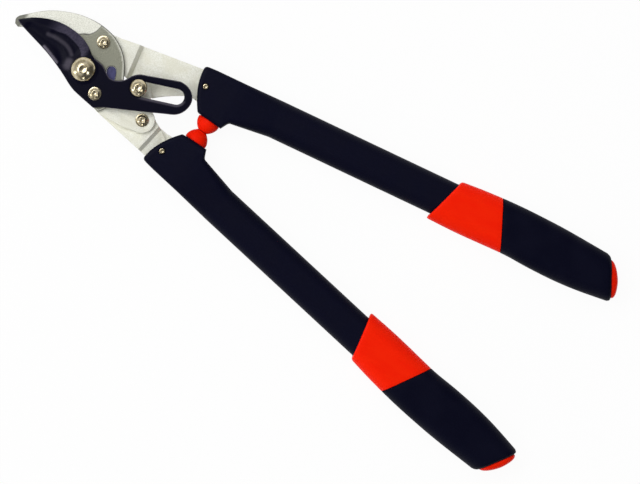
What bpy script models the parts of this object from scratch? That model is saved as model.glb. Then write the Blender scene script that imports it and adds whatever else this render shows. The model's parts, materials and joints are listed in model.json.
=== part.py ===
"""Compound-action bypass lopper, lying closed on a table with its bolt heads up.

Plan sizes are millimetres from the slide bolt: +X runs from the blade tip to the handle ends along
the line that halves the handles, +Y to the upper handle. Heights are millimetres above the table.
"""
import math

import bmesh
import bpy
from mathutils import Matrix, Vector
from mathutils.geometry import tessellate_polygon

MM = 0.001
TOOL_X = -160.3  # the slide bolt's place, with the middle of the closed tool at the world's origin
TOOL_Y = 0.45

# Pivots, in plan
SLIDE = (0.0, 0.0)
MAIN = (-47.2, -13.0)
HOOK_JOINT = (-45.8, 15.4)
LINK_JOINT = (17.5, -20.6)
PIN = (-27.7, -24.4)
SLOT_START = (0.1, -0.3)
SLOT_END = (30.5, 11.8)

# How far the handles open, and how the other joints follow them
OPENING = 60.0
HOOK_RATIO = -0.839
BLADE_RATIO = 0.582
LINK_RATIO = 0.742

# Plates and the air between them
PLATE = 3.5
BLADE_THICK = 4.0
GAP = 0.3
EDGE = 0.35
HANDLE_MID = 14.0

# Bolts, nuts and the other turned parts: radii and heights
MAIN_HEAD = 10.2
MAIN_HEAD_HIGH = 6.2
MAIN_SHANK = 5.0
SLIDE_HEAD = 7.5
SLIDE_HEAD_HIGH = 5.2
SLIDE_SHANK = 3.8
SLEEVE = 5.45
SMALL_FLANGE = 5.6
SMALL_HEAD = 4.6
SMALL_HEAD_HIGH = 3.2
SMALL_SHANK = 3.0
PIN_RADIUS = 2.7
BOLT_TAIL = 0.8
NUT_HIGH = 3.2
SMALL_NUT_HIGH = 2.9
MAIN_NUT = 8.0
SLIDE_NUT = 6.8
SMALL_NUT = 5.4
WASHER = 8.6
WASHER_THICK = 0.8
MAIN_KEY = 3.0
SLIDE_KEY = 2.5
SMALL_KEY = 2.0
KEY_DEPTH = 2.6
SMALL_KEY_DEPTH = 1.6
BOSS = 12.6
BOSS_HIGH = 0.7

# The blade's outline, counter-clockwise from the tip
BLADE_BACK = ((-116.0, -9.0), (-111.3, -11.1), (-100, -13.8), (-80, -18.5), (-62, -24.7),
              (-47, -31.2), (-36, -33.3), (-22.2, -35.1))
BLADE_TOE = ((-19.2, -32.6), (-15.1, -29.7))
BLADE_ARM = ((12, -15.6), (37.6, -1.8), (41.5, 2.4), (43.7, 7.7), (44.1, 13.2), (42.0, 18.5),
             (37.8, 22.6), (32, 24.5), (25.8, 24.2), (-0.2, 12.6))
BLADE_WAIST = ((-0.2, 12.6), (-5.7, 10.0), (-10.1, 5.3), (-13.6, -1.2), (-18.6, -5.3),
               (-24.2, -6.8), (-29.2, -4.8), (-35.5, -1.3), (-44, -0.3))
CUTTING_EDGE = ((-48.0, 1.2), (-54.1, 5.3), (-61.9, 8.5), (-70, 9.7), (-79, 9.7), (-88.1, 8.1),
                (-97.3, 4.7), (-107.4, -1.2), (-116.0, -9.0))
BEVEL_WIDE = 6.0
BEVEL_DEEP = 3.2
BEVEL_HEEL_RUN = 8.0
BEVEL_TIP_RUN = 45.0

# The hook's outline, counter-clockwise from the nose
HOOK_NOSE = ((-116.3, -12.9),)
HOOK_MOUTH = ((-112.8, -14.0), (-104, -9.2), (-94, -4.9), (-84, -2.6), (-74, -3.2), (-66, -6.6),
              (-62, -12))
HOOK_LOW = ((-62, -12), (-60, -19), (-54, -25.6), (-45, -30.2), (-33, -32.7), (-20.5, -35.0))
HOOK_FAN = (-37, 6)
HOOK_BACK = ((-15.5, 1.2), (-20.9, 10.0), (-28.0, 17.5), (-39.8, 24.2), (-53.5, 26.5),
             (-65.9, 25.7), (-80.4, 21.8), (-98.8, 12.0), (-113.7, -2.3), (-117.3, -6.4),
             (-118.0, -9.6))
PIN_SLOT_INNER = math.dist(MAIN, PIN) - PIN_RADIUS - GAP
PIN_SLOT_OUTER = 27.8
PIN_SLOT_TOP = 31.0
HOOK_ROUND = 37.6
STOP_WIDE = 6.2

# Handle axes, and the ferrules' place along them from where the two axes cross
HANDLE_ANGLE = 8.76
CROSSING_X = -171.8
FERRULE_FRONT = 212.4

# Link and tangs, with the tongues that reach into the ferrules
LINK_LOW = ((-17.6, -36.1), (-15.8, -36.3), (5.8, -34.8), (16, -32))
UPPER_RAMP = 11.9
UPPER_RAMP_RUN = 3.4
UPPER_RAMP_WAY = 191.0
LOWER_RAMP = FERRULE_FRONT + CROSSING_X * math.cos(math.radians(HANDLE_ANGLE)) - 8.2
LOWER_RAMP_RUN = 3.2
UPPER_BACK = ((-19, 31.0), (-32, 27.4))
UPPER_BELLY = ((-43, 6.5), (-20, 2.4), (-9.2, 0.6))
UPPER_THROAT = ((14.3, -0.4), (22, 6.8), (36, 16.9))
LOWER_THROAT = ((33.8, -17.6), (22, -11), (13.6, -1.8), (11.6, 2.4), (8.2, 5.8))
LOWER_BACK = ((-20.1, -35.2), (-18.6, -36.0))
UPPER_EYE = 9.2
LOWER_EYE = 9.0
HOOK_EYE = 9.4
LINK_EYE = 10.9
PIN_EYE = 8.8
TANG_INNER = 15.0
TANG_OUTER = 11.7
TONGUE_END_HALF = 11.0
TONGUE_START = FERRULE_FRONT - 1.2
TONGUE_TAPER = FERRULE_FRONT + 8.8
TONGUE_END = FERRULE_FRONT + 58.8
SOCKET_END = TONGUE_END + 3.0
RIVET_AT = FERRULE_FRONT + 7.8
RIVET_OUT = -0.8
RIVET_HEAD = 2.7
RIVET_SHANK = 1.9
RIVET_HEAD_HIGH = 1.0
RIVET_DIMPLE = 1.0

# Handles, measured along and out from their axes
FLAT_PIECES = 6  # along the flat top and underside of a handle, so that its front can curve
FRONT_BEND = 0.0188
FRONT_BEND_FROM = 9.0
FRONT_BEND_POWER = 1.83
FERRULE_OUTER = 15.1
FERRULE_REAR_OUTER = 15.6
FERRULE_CORNER = 3.6
FERRULE_EDGE = 3.0
BUMPER_STEP = FERRULE_FRONT + 33.8
BUMPER_STEP_RUN = 5.0
BUMPER_FACE_Y = 10.7
STEP_LOW = 20.0
STEP_CORNER = 4.2
TUBE_START = FERRULE_FRONT + 73.8
TUBE_HALF = 16.2
TUBE_FLAT_HALF = 11.6
TUBE_CORNER = 10.2
CORE_WALL = 1.6
BODY_WALL = 2.4
LOWER_LONGER = 6.6  # how much longer the lower tube is than the upper one
COLLAR_FRONT = 442.9
COLLAR_FRONT_SLANT = 0.357
COLLAR_REAR = COLLAR_FRONT + 52.9
COLLAR_REAR_SLANT = -0.41
COLLAR_EDGE = 1.9
GRIP_END = COLLAR_REAR + 102.4
GRIP_END_SLANT = -0.445
GRIP_CORNER = 12.0
GRIP_EDGE = 2.4
CAP_THICK = 6.2
CAP_PLUG = 18.0
CAP_WALL = 2.5
BODY_END = GRIP_END - CAP_PLUG - GAP

# How far collar and grip swell from the axis, by the share of the way from the collar to the end
SWELL_OUT = ((0, 19.5), (0.15, 20.8), (0.3, 21.6), (0.45, 22.1), (0.6, 21.7), (0.75, 20.6), (1, 17.3))
SWELL_IN = ((0, 20.9), (0.15, 21.6), (0.36, 20.9), (0.5, 22.2), (0.65, 22.8), (0.8, 21.9), (1, 18.8))
TUBE_SHAPE = (-TUBE_HALF, TUBE_HALF, TUBE_FLAT_HALF, TUBE_CORNER)
BUMPER_X = CROSSING_X + FERRULE_FRONT + 24.0
BUMPER_RADIUS = 9.8
BUMPER_DOME = 11.2  # height of the whole dome; its tip is flat where the two bumpers meet
BUMPER_STEM = 4.0
BUMPER_STEM_LONG = 8.0

NAVY = ((0.0060, 0.0075, 0.0170), 0.42, 0.0)
NAVY_SOFT = ((0.0055, 0.0060, 0.0130), 0.62, 0.0)
RED = ((0.93, 0.020, 0.004), 0.38, 0.0)
ZINC = ((0.80, 0.80, 0.74), 0.34, 1.0)
HOOK_STEEL = ((0.56, 0.58, 0.47), 0.40, 1.0)
COATING = ((0.014, 0.014, 0.034), 0.36, 0.0)
NICKEL = ((0.72, 0.64, 0.48), 0.18, 1.0)
ALUMINIUM = ((0.75, 0.76, 0.78), 0.35, 1.0)
NYLON = ((0.110, 0.110, 0.270), 0.45, 0.0)


# Plan geometry

def polar(centre, radius, degrees):
    angle = math.radians(degrees)
    return (centre[0] + radius * math.cos(angle), centre[1] + radius * math.sin(angle))


def bearing(centre, point):
    """Direction from one point to another, in degrees."""
    return math.degrees(math.atan2(point[1] - centre[1], point[0] - centre[0]))


def turned_point(point, centre, degrees):
    """A point carried round a centre."""
    return polar(centre, math.dist(centre, point), bearing(centre, point) + degrees)


def arc(centre, radius, start, end, step=15):
    count = max(2, math.ceil(abs(end - start) / step))
    return [polar(centre, radius, start + (end - start) * i / count) for i in range(count + 1)]


def circle(centre, radius, count=28):
    return [polar(centre, radius, 360 * i / count) for i in range(count)]


def curve(points, pieces=3):
    """A smooth curve through the points (Catmull-Rom)."""
    padded = [points[0]] + list(points) + [points[-1]]
    result = []
    for a, b, c, d in zip(padded, padded[1:], padded[2:], padded[3:]):
        for i in range(pieces):
            t = i / pieces
            result.append(tuple(
                0.5 * (2 * q + (r - p) * t + (2 * p - 5 * q + 4 * r - s) * t * t
                       + (3 * q - p - 3 * r + s) * t ** 3)
                for p, q, r, s in zip(a, b, c, d)))
    return result + [points[-1]]


def joined(*stretches):
    """One closed outline from its stretches, without doubled points."""
    points = []
    for stretch in stretches:
        for point in stretch:
            if not points or math.dist(points[-1], point) > 0.05:
                points.append(point)
    if math.dist(points[0], points[-1]) <= 0.05:
        points.pop()
    return points


def inset(outline, amounts):
    """A counter-clockwise outline moved inwards, by its own amount at each point."""
    moved = []
    count = len(outline)
    for i, (x, y) in enumerate(outline):
        before = Vector(outline[i]) - Vector(outline[i - 1])
        after = Vector(outline[(i + 1) % count]) - Vector(outline[i])
        before.normalize()
        after.normalize()
        normal = Vector((-before.y - after.y, before.x + after.x))
        normal *= amounts[i] / max(normal.length_squared / 2, 0.5)
        moved.append((x + normal.x, y + normal.y))
    return moved


def level(number):
    """Underside of the plate at a level of the stack; level 0 lies in the handles' middle."""
    return HANDLE_MID - PLATE / 2 + number * (PLATE + GAP)


def handle_point(side, along, out):
    """Plan point from a distance along a handle and one out from its axis."""
    angle = math.radians(HANDLE_ANGLE)
    x = CROSSING_X + along * math.cos(angle) - out * math.sin(angle)
    y = along * math.sin(angle) + out * math.cos(angle)
    return (x, side * y)


# Motion: where the pieces lie at a handle opening, seen from the lower handle

def blade_frame(opening):
    """The main pivot's place and the blade's turn."""
    hook_turn = opening * (1 + HOOK_RATIO)
    joint = turned_point(HOOK_JOINT, SLIDE, opening)
    reach = math.dist(HOOK_JOINT, MAIN)
    main = polar(joint, reach, bearing(HOOK_JOINT, MAIN) + hook_turn)
    return main, hook_turn + opening * BLADE_RATIO


def slide_path(steps=4):
    """The slide bolt's places in the blade, from closed to open."""
    places = []
    for i in range(steps + 1):
        main, turn = blade_frame(OPENING * i / steps)
        reach = math.dist(main, SLIDE)
        places.append(polar(MAIN, reach, bearing(main, SLIDE) - turn))
    return places


def slide_stray():
    """How far the slide bolt strays from the middle line of the blade's straight slot."""
    along = bearing(SLOT_START, SLOT_END)
    return max(math.dist(SLOT_START, place_at)
               * abs(math.sin(math.radians(bearing(SLOT_START, place_at) - along)))
               for place_at in slide_path(12))


def pin_stray(steps=12):
    """How far the pin strays from its place in the link, because the joints follow in fixed ratios."""
    worst = 0.0
    for i in range(steps + 1):
        opening = OPENING * i / steps
        main, turn = blade_frame(opening)
        on_blade = polar(main, math.dist(MAIN, PIN), bearing(MAIN, PIN) + turn)
        on_link = turned_point(PIN, LINK_JOINT, opening * LINK_RATIO)
        worst = max(worst, math.dist(on_blade, on_link))
    return worst


# Building solids

def material(name, look):
    colour, roughness, metallic = look
    made = bpy.data.materials.new(name)
    made.use_nodes = True
    shader = made.node_tree.nodes["Principled BSDF"]
    shader.inputs["Base Color"].default_value = (*colour, 1.0)
    shader.inputs["Roughness"].default_value = roughness
    shader.inputs["Metallic"].default_value = metallic
    return made


def place(mesh, name, look, joint, smooth):
    """Make the object, with its origin on the joint that carries it."""
    mesh.normal_update()
    bmesh.ops.recalc_face_normals(mesh, faces=mesh.faces[:])
    bmesh.ops.translate(mesh, verts=mesh.verts[:], vec=(-joint[0], -joint[1], 0))
    bmesh.ops.scale(mesh, verts=mesh.verts[:], vec=(MM, MM, MM))
    for face in mesh.faces:
        face.smooth = smooth
    if smooth:
        for edge in mesh.edges:
            edge.smooth = len(edge.link_faces) == 2 and edge.calc_face_angle() < math.radians(40)
    data = bpy.data.meshes.new(name)
    mesh.to_mesh(data)
    mesh.free()
    made = bpy.data.objects.new(name, data)
    bpy.context.scene.collection.objects.link(made)
    if look is not None:
        data.materials.append(material(name, look))
    made.parent = PIVOTS[joint]
    return made


def walls(mesh, rings, closed_rings=False):
    """Side faces between rings of points; rings of one point are a tip."""
    pairs = list(zip(rings, rings[1:]))
    if closed_rings:
        pairs.append((rings[-1], rings[0]))
    for lower, upper in pairs:
        count = max(len(lower), len(upper))
        for i in range(count):
            corners = [lower[i % len(lower)], lower[(i + 1) % len(lower)],
                       upper[(i + 1) % len(upper)], upper[i % len(upper)]]
            unique = list(dict.fromkeys(corners))
            if len(unique) > 2:
                mesh.faces.new(unique)


def ring(mesh, loop, height):
    return [mesh.verts.new((x, y, height)) for x, y in loop]


def fill(mesh, rings):
    """A flat face inside the first ring and round the others."""
    loops = [[vert.co.copy() for vert in verts] for verts in rings]
    verts = [vert for verts in rings for vert in verts]
    for triangle in tessellate_polygon(loops):
        mesh.faces.new([verts[i] for i in triangle])


def plate_mesh(outer, holes):
    """A plate: outer is its side from bottom to top and each hole is a side from top to bottom,
    all as (outline, height) pairs."""
    mesh = bmesh.new()
    outside = [ring(mesh, loop, height) for loop, height in outer]
    inside = [[ring(mesh, loop, height) for loop, height in hole] for hole in holes]
    walls(mesh, outside)
    for hole in inside:
        walls(mesh, hole)
    fill(mesh, [outside[-1]] + [hole[0] for hole in inside])
    fill(mesh, [outside[0]] + [hole[-1] for hole in inside])
    return mesh


def broken_edges(outline, bottom, thickness):
    """A plate's side with its two edges broken."""
    small = inset(outline, [EDGE] * len(outline))
    top = bottom + thickness
    return [(small, bottom), (outline, bottom + EDGE), (outline, top - EDGE), (small, top)]


def through(loop, bottom, thickness):
    return [(loop, bottom + thickness), (loop, bottom)]


def turned_mesh(centre, profile, count=28):
    """A solid turned about a vertical axis from (radius, height) points that start and end on it,
    or that go round a ring's section."""
    mesh = bmesh.new()
    rings = []
    for radius, height in profile:
        loop = circle(centre, radius, count) if radius else [centre]
        rings.append(ring(mesh, loop, height))
    walls(mesh, rings, closed_rings=profile[0][0] > 0)
    return mesh


def dome(radius, bottom, height, steps=5):
    """Profile of a domed head, from its rim to its top."""
    rim = 0.2 * height
    rise = height - rim
    ball = (radius ** 2 + rise ** 2) / (2 * rise)
    widest = math.asin(min(1.0, radius / ball))
    centre = bottom + height - ball
    points = [(radius, bottom)]
    for i in range(steps):
        angle = widest * (1 - i / steps)
        points.append((ball * math.sin(angle), centre + ball * math.cos(angle)))
    return points + [(0, bottom + height)]


def cut(target, name, mesh, joint):
    """Take a shape out of an object."""
    cutter = place(mesh, name, None, joint, False)
    cutter.hide_render = True
    cutter.display_type = "WIRE"
    modifier = target.modifiers.new(name, "BOOLEAN")
    modifier.operation = "DIFFERENCE"
    modifier.solver = "EXACT"
    modifier.object = cutter


def key_hole(bolt, centre, radius, depth, top, joint):
    """The hexagonal recess in a bolt's head."""
    hexagon = circle(centre, radius, 6)
    mesh = plate_mesh([(hexagon, top - depth), (hexagon, top + 1)], [])
    cut(bolt, bolt.name + "_key", mesh, joint)


def bolt(name, centre, head, shank, foot, joint, key, depth):
    """A bolt with its head's profile from rim to top, a plain shank and a foot."""
    top = head[-1][1]
    under = head[0][1]
    profile = [(0, foot), (shank - EDGE, foot), (shank, foot + EDGE), (shank, under)] + head
    made = place(turned_mesh(centre, profile), name, NICKEL, joint, True)
    key_hole(made, centre, key, depth, top, joint)
    return made


def small_head(bottom):
    """Profile of a button head on a thin flange."""
    flange = 0.25 * SMALL_HEAD_HIGH
    return [(SMALL_FLANGE, bottom), (SMALL_FLANGE, bottom + flange)] + dome(
        SMALL_HEAD, bottom + flange, SMALL_HEAD_HIGH - flange)


def nut(name, centre, radius, bore, top, height, joint, look=NICKEL):
    """A hexagonal nut round a shank, under a plate."""
    hexagon = circle(centre, radius, 6)
    mesh = plate_mesh(broken_edges(hexagon, top - height, height),
                      [through(circle(centre, bore + GAP), top - height, height)])
    return place(mesh, name, look, joint, False)


def joggle(mesh, direction, start, run, rise):
    """Bend a plate over a ramp that starts at a distance from the slide bolt."""
    way = Vector((*polar((0, 0), 1, direction), 0))
    lean = PLATE * math.tan(math.atan2(abs(rise), run) / 2)
    middle = sum(vert.co.z for vert in mesh.verts) / len(mesh.verts)
    sides = [(start, start + run), (start - lean, start - lean + run)]
    if rise < 0:
        sides.reverse()
    for place_at in {place_at for side in sides for place_at in side}:
        bmesh.ops.bisect_plane(mesh, geom=mesh.verts[:] + mesh.edges[:] + mesh.faces[:],
                               plane_co=way * place_at, plane_no=way)
    for vert in mesh.verts:
        begin, end = sides[vert.co.z > middle]
        share = (vert.co.dot(way) - begin) / (end - begin)
        vert.co.z += rise * min(1.0, max(0.0, share))


# Cutting head

def blade_outline():
    """The blade with its slotted arm, and its cutting edge."""
    edge = curve(CUTTING_EDGE)
    return joined(curve(BLADE_BACK, 2), BLADE_TOE, curve(BLADE_ARM), curve(BLADE_WAIST),
                  edge), joined(edge)


def bevel_width(x, heel, tip):
    """Width of the ground bevel along the cutting edge; it runs out at both ends."""
    from_heel = (heel - x) / BEVEL_HEEL_RUN
    from_tip = (x - tip) / BEVEL_TIP_RUN
    return max(EDGE, BEVEL_WIDE * min(1.0, 0.35 + from_heel, from_tip))


def slot_loop():
    """The blade's long straight slot, wide enough for the sleeve on its slightly bowed path."""
    half = SLEEVE + GAP + slide_stray()
    way = bearing(SLOT_START, SLOT_END)
    return joined(arc(SLOT_START, half, way + 270, way + 90),
                  arc(SLOT_END, half, way + 90, way - 90))


def make_blade():
    bottom = level(4)
    top = bottom + BLADE_THICK
    outline, edge = blade_outline()
    on_edge = set(edge)
    tip, heel = edge[-1][0], edge[0][0]
    amounts = [bevel_width(p[0], heel, tip) if p in on_edge else EDGE for p in outline]
    face = inset(outline, amounts)
    lip = [top - BEVEL_DEEP if p in on_edge else top - EDGE for p in outline]
    bore = MAIN_SHANK + GAP
    boss = [(circle(MAIN, BOSS), top), (circle(MAIN, BOSS - BOSS_HIGH), top + BOSS_HIGH),
            (circle(MAIN, bore), top + BOSS_HIGH), (circle(MAIN, bore), bottom)]
    holes = [boss, through(slot_loop(), bottom, BLADE_THICK),
             through(circle(PIN, PIN_RADIUS + GAP, 20), bottom, BLADE_THICK)]
    mesh = plate_mesh([(outline, bottom), (outline, top), (face, top)], holes)
    mesh.verts.ensure_lookup_table()
    for vert, height in zip(mesh.verts[len(outline):2 * len(outline)], lip):
        vert.co.z = height
    return place(mesh, "blade", COATING, MAIN, False)


def hook_outline():
    """The hook from its nose through the mouth, round the pin slot and over the back."""
    return joined(HOOK_NOSE, curve(HOOK_MOUTH), curve(HOOK_LOW, 2),
                  arc(MAIN, HOOK_ROUND, *HOOK_FAN, 7), curve(HOOK_BACK))


def pin_slot():
    """The hook's slot for the pin: an arc round the main bolt, open to where the stop sits."""
    middle = (PIN_SLOT_INNER + PIN_SLOT_OUTER) / 2
    half = (PIN_SLOT_OUTER - PIN_SLOT_INNER) / 2
    low = bearing(MAIN, PIN)
    high = PIN_SLOT_TOP
    return joined(arc(MAIN, PIN_SLOT_OUTER, low, high, 8),
                  arc(polar(MAIN, middle, high), half, high, high + 180, 18),
                  arc(MAIN, PIN_SLOT_INNER, high, low, 8),
                  arc(polar(MAIN, middle, low), half, low + 180, low + 360, 18))


def make_hook():
    bottom = level(3)
    holes = [through(pin_slot(), bottom, PLATE),
             through(circle(MAIN, MAIN_SHANK + GAP), bottom, PLATE),
             through(circle(HOOK_JOINT, SMALL_SHANK + GAP, 20), bottom, PLATE)]
    mesh = plate_mesh(broken_edges(hook_outline(), bottom, PLATE), holes)
    return place(mesh, "hook", HOOK_STEEL, HOOK_JOINT, False)


def make_pin_stop():
    """The block at the end of the hook's slot that the pin comes up against when fully open."""
    reach = math.dist(MAIN, PIN)
    clear = math.degrees((PIN_RADIUS + GAP) / reach)
    start = bearing(MAIN, PIN) + OPENING * BLADE_RATIO + clear
    outer = PIN_SLOT_OUTER - GAP
    inner = outer - STOP_WIDE
    half = STOP_WIDE / 2
    top = PIN_SLOT_TOP
    block = joined(arc(MAIN, outer, start, top, 8),
                   arc(polar(MAIN, outer - half, top), half, top, top + 180, 18),
                   arc(MAIN, inner, top, start, 8))
    mesh = plate_mesh([(block, level(3)), (block, level(3) + PLATE)], [])
    return place(mesh, "pin_stop", NYLON, HOOK_JOINT, False)


def make_link():
    upper = bearing(PIN, LINK_JOINT) + 90
    outline = joined(arc(PIN, PIN_EYE, upper, 252),
                     LINK_LOW,
                     arc(LINK_JOINT, LINK_EYE, -78, upper))
    bottom = level(2)
    stray = PIN_RADIUS + pin_stray() + GAP
    holes = [through(circle(PIN, stray), bottom, PLATE),
             through(circle(LINK_JOINT, SMALL_SHANK + GAP, 20), bottom, PLATE)]
    mesh = plate_mesh(broken_edges(outline, bottom, PLATE), holes)
    return place(mesh, "link", ZINC, LINK_JOINT, False)


# Tangs

def tongue(side):
    """The tang's end inside the ferrule, from its outer edge at the mouth to its inner edge."""
    return [handle_point(side, *point) for point in (
        (TONGUE_START, TANG_OUTER), (TONGUE_TAPER, TANG_OUTER), (TONGUE_END, TONGUE_END_HALF),
        (TONGUE_END, -TONGUE_END_HALF), (TONGUE_TAPER, -TANG_INNER))]


def rivet_hole(side, bottom):
    return through(circle(handle_point(side, RIVET_AT, RIVET_OUT), RIVET_SHANK + GAP, 20), bottom, PLATE)


def make_upper_tang():
    bottom = level(0)
    throat = UPPER_THROAT + (handle_point(1, FERRULE_FRONT, 1.0 - TANG_INNER),
                             handle_point(1, FERRULE_FRONT + 6.5, -TANG_INNER))
    outline = joined(tongue(1)[::-1], UPPER_BACK, arc(HOOK_JOINT, HOOK_EYE, 84, 285),
                     UPPER_BELLY, arc(SLIDE, UPPER_EYE, 186, 352), curve(throat, 2))
    holes = [through(circle(SLIDE, SLIDE_SHANK + GAP, 20), bottom, PLATE),
             through(circle(HOOK_JOINT, SMALL_SHANK + GAP, 20), bottom, PLATE),
             rivet_hole(1, bottom)]
    mesh = plate_mesh(broken_edges(outline, bottom, PLATE), holes)
    joggle(mesh, UPPER_RAMP_WAY, UPPER_RAMP, UPPER_RAMP_RUN, level(2) - level(0))
    return place(mesh, "upper_tang", ZINC, SLIDE, False)


def make_lower_tang():
    bottom = level(0)
    throat = (handle_point(-1, FERRULE_FRONT + 4.9, -TANG_INNER),) + LOWER_THROAT
    outline = joined(tongue(-1), curve(throat, 2), arc(SLIDE, LOWER_EYE, 60, 238), LOWER_BACK)
    holes = [through(circle(SLIDE, SLIDE_SHANK + GAP, 20), bottom, PLATE),
             through(circle(LINK_JOINT, SMALL_SHANK + GAP, 20), bottom, PLATE),
             rivet_hole(-1, bottom)]
    mesh = plate_mesh(broken_edges(outline, bottom, PLATE), holes)
    for vert in mesh.verts:
        vert.co.z += level(1) - level(0)
    joggle(mesh, -HANDLE_ANGLE, LOWER_RAMP, LOWER_RAMP_RUN, level(0) - level(1))
    return place(mesh, "lower_tang", ZINC, GROUND, False)


# Bolts, nuts, sleeve

def make_main_bolt():
    under = level(4) + BLADE_THICK + BOSS_HIGH + GAP
    foot = level(2) + GAP
    bolt("main_bolt", MAIN, dome(MAIN_HEAD, under, MAIN_HEAD_HIGH), MAIN_SHANK, foot, MAIN,
         MAIN_KEY, KEY_DEPTH)
    washer_top = level(3) - GAP
    bore = MAIN_SHANK + GAP
    profile = [(bore, washer_top - WASHER_THICK), (WASHER, washer_top - WASHER_THICK),
               (WASHER, washer_top), (bore, washer_top)]
    place(turned_mesh(MAIN, profile), "main_washer", NICKEL, MAIN, False)
    nut_top = washer_top - WASHER_THICK - GAP
    nut("main_nut", MAIN, MAIN_NUT, MAIN_SHANK, nut_top, nut_top - level(2), MAIN)


def make_slide_bolt():
    lower = level(1) + PLATE + GAP
    upper = level(4) + BLADE_THICK + GAP
    bore = SLIDE_SHANK + GAP
    profile = [(bore, lower), (SLEEVE, lower), (SLEEVE, upper), (bore, upper)]
    place(turned_mesh(SLIDE, profile), "slide_sleeve", ZINC, SLIDE, False)
    nut_top = level(0) - GAP
    foot = nut_top - NUT_HIGH - BOLT_TAIL
    bolt("slide_bolt", SLIDE, dome(SLIDE_HEAD, upper + GAP, SLIDE_HEAD_HIGH), SLIDE_SHANK, foot,
         SLIDE, SLIDE_KEY, KEY_DEPTH)
    nut("slide_nut", SLIDE, SLIDE_NUT, SLIDE_SHANK, nut_top, NUT_HIGH, SLIDE)


def make_small_bolts():
    """The hook's and the link's bolts with their nuts, and the blade's pin."""
    hook_nut_top = level(2) - GAP
    bolt("hook_bolt", HOOK_JOINT, small_head(level(4)), SMALL_SHANK,
         hook_nut_top - SMALL_NUT_HIGH - BOLT_TAIL, HOOK_JOINT, SMALL_KEY, SMALL_KEY_DEPTH)
    nut("hook_nut", HOOK_JOINT, SMALL_NUT, SMALL_SHANK, hook_nut_top, SMALL_NUT_HIGH, HOOK_JOINT)
    link_nut_top = level(1) - GAP
    bolt("link_bolt", LINK_JOINT, small_head(level(3)), SMALL_SHANK,
         link_nut_top - SMALL_NUT_HIGH - BOLT_TAIL, GROUND, SMALL_KEY, SMALL_KEY_DEPTH)
    nut("link_nut", LINK_JOINT, SMALL_NUT, SMALL_SHANK, link_nut_top, SMALL_NUT_HIGH, GROUND)
    bolt("blade_pin", PIN, small_head(level(4) + BLADE_THICK + GAP), PIN_RADIUS, level(2), MAIN,
         SMALL_KEY, SMALL_KEY_DEPTH)


# Handles

def section(inner, outer, half, corner, count=4, flat_pieces=1):
    """A rounded rectangle across a handle, as (out, height) points round its middle height."""
    points = []
    corners = ((outer - corner, half - corner, 0), (inner + corner, half - corner, 90),
               (inner + corner, corner - half, 180), (outer - corner, corner - half, 270))
    for out, height, start in corners:
        for i in range(count + 1):
            angle = math.radians(start + 90 * i / count)
            points.append((out + corner * math.cos(angle), height + corner * math.sin(angle)))
        if start in (0, 180):
            begin, rim = points[-1]
            end = inner + outer - begin
            points += [(begin + (end - begin) * i / flat_pieces, rim)
                       for i in range(1, flat_pieces)]
    return points


def shrunk(shape, amount):
    """A section's four sizes, made smaller all round."""
    inner, outer, half, corner = shape
    return (inner + amount, outer - amount, half - amount, max(0.4, corner - amount))


def section_ring(mesh, side, along, shape, bend=None, flat_pieces=1):
    """A section set across the handle; bend moves its points along by their distance out."""
    verts = []
    for out, height in section(*shape, flat_pieces=flat_pieces):
        reach = along + (bend(out) if bend else 0)
        x, y = handle_point(side, reach, out)
        verts.append(mesh.verts.new((x, y, HANDLE_MID + height)))
    return verts


def front_bend(share):
    """The ferrule's curved front, fading out along the handle."""
    return lambda out: share * FRONT_BEND * max(0.0, FRONT_BEND_FROM - out) ** FRONT_BEND_POWER


def slant(amount):
    return lambda out: amount * out


def bumper_edge(along, share):
    """How far out the ferrule reaches to meet the bumper's face, which is parallel to the tool."""
    angle = math.radians(HANDLE_ANGLE)
    out = -25.0
    for _ in range(8):
        reach = along + front_bend(share)(out)
        out = (BUMPER_FACE_Y - reach * math.sin(angle)) / math.cos(angle)
    return out


def grip_shift(side):
    """How much further back the lower handle's collar and grip sit."""
    return LOWER_LONGER if side < 0 else 0.0


def ferrule_stations():
    """(along, section, share of the front's bend) from the mouth to the plain tube."""
    thick = HANDLE_MID
    edge = FERRULE_EDGE
    mouth = (bumper_edge(FERRULE_FRONT, 1.0), FERRULE_OUTER, thick, FERRULE_CORNER)
    stations = [(FERRULE_FRONT, shrunk(mouth, edge), 1.0),
                (FERRULE_FRONT + 0.27 * edge, shrunk(mouth, 0.36 * edge), 1.0),
                (FERRULE_FRONT + edge, mouth, 1.0)]
    run = BUMPER_STEP - FERRULE_FRONT
    for place_at, share in ((0.32, 0.7), (0.67, 0.35), (1.0, 0.05)):
        along = FERRULE_FRONT + run * place_at
        shape = (bumper_edge(along, share), FERRULE_REAR_OUTER, thick, FERRULE_CORNER)
        stations.append((along, shape, share))
    deep = bumper_edge(BUMPER_STEP, 0.0)
    begin = BUMPER_STEP + BUMPER_STEP_RUN
    thick -= 0.2
    stations.append((BUMPER_STEP + 0.36 * BUMPER_STEP_RUN,
                     (deep + 1.2, FERRULE_REAR_OUTER, HANDLE_MID, FERRULE_CORNER), 0.0))
    stations.append((begin, (-STEP_LOW, FERRULE_REAR_OUTER, thick, STEP_CORNER), 0.0))
    fade = 5
    for i in range(1, fade + 1):
        share = i / fade
        inner = -STEP_LOW + (STEP_LOW - TUBE_HALF) * share
        outer = FERRULE_REAR_OUTER + (TUBE_HALF - FERRULE_REAR_OUTER) * share
        half = thick + (TUBE_FLAT_HALF - thick) * share
        corner = STEP_CORNER + (TUBE_CORNER - STEP_CORNER) * share
        stations.append((begin + (TUBE_START - begin) * share, (inner, outer, half, corner), 0.0))
    return stations


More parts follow.
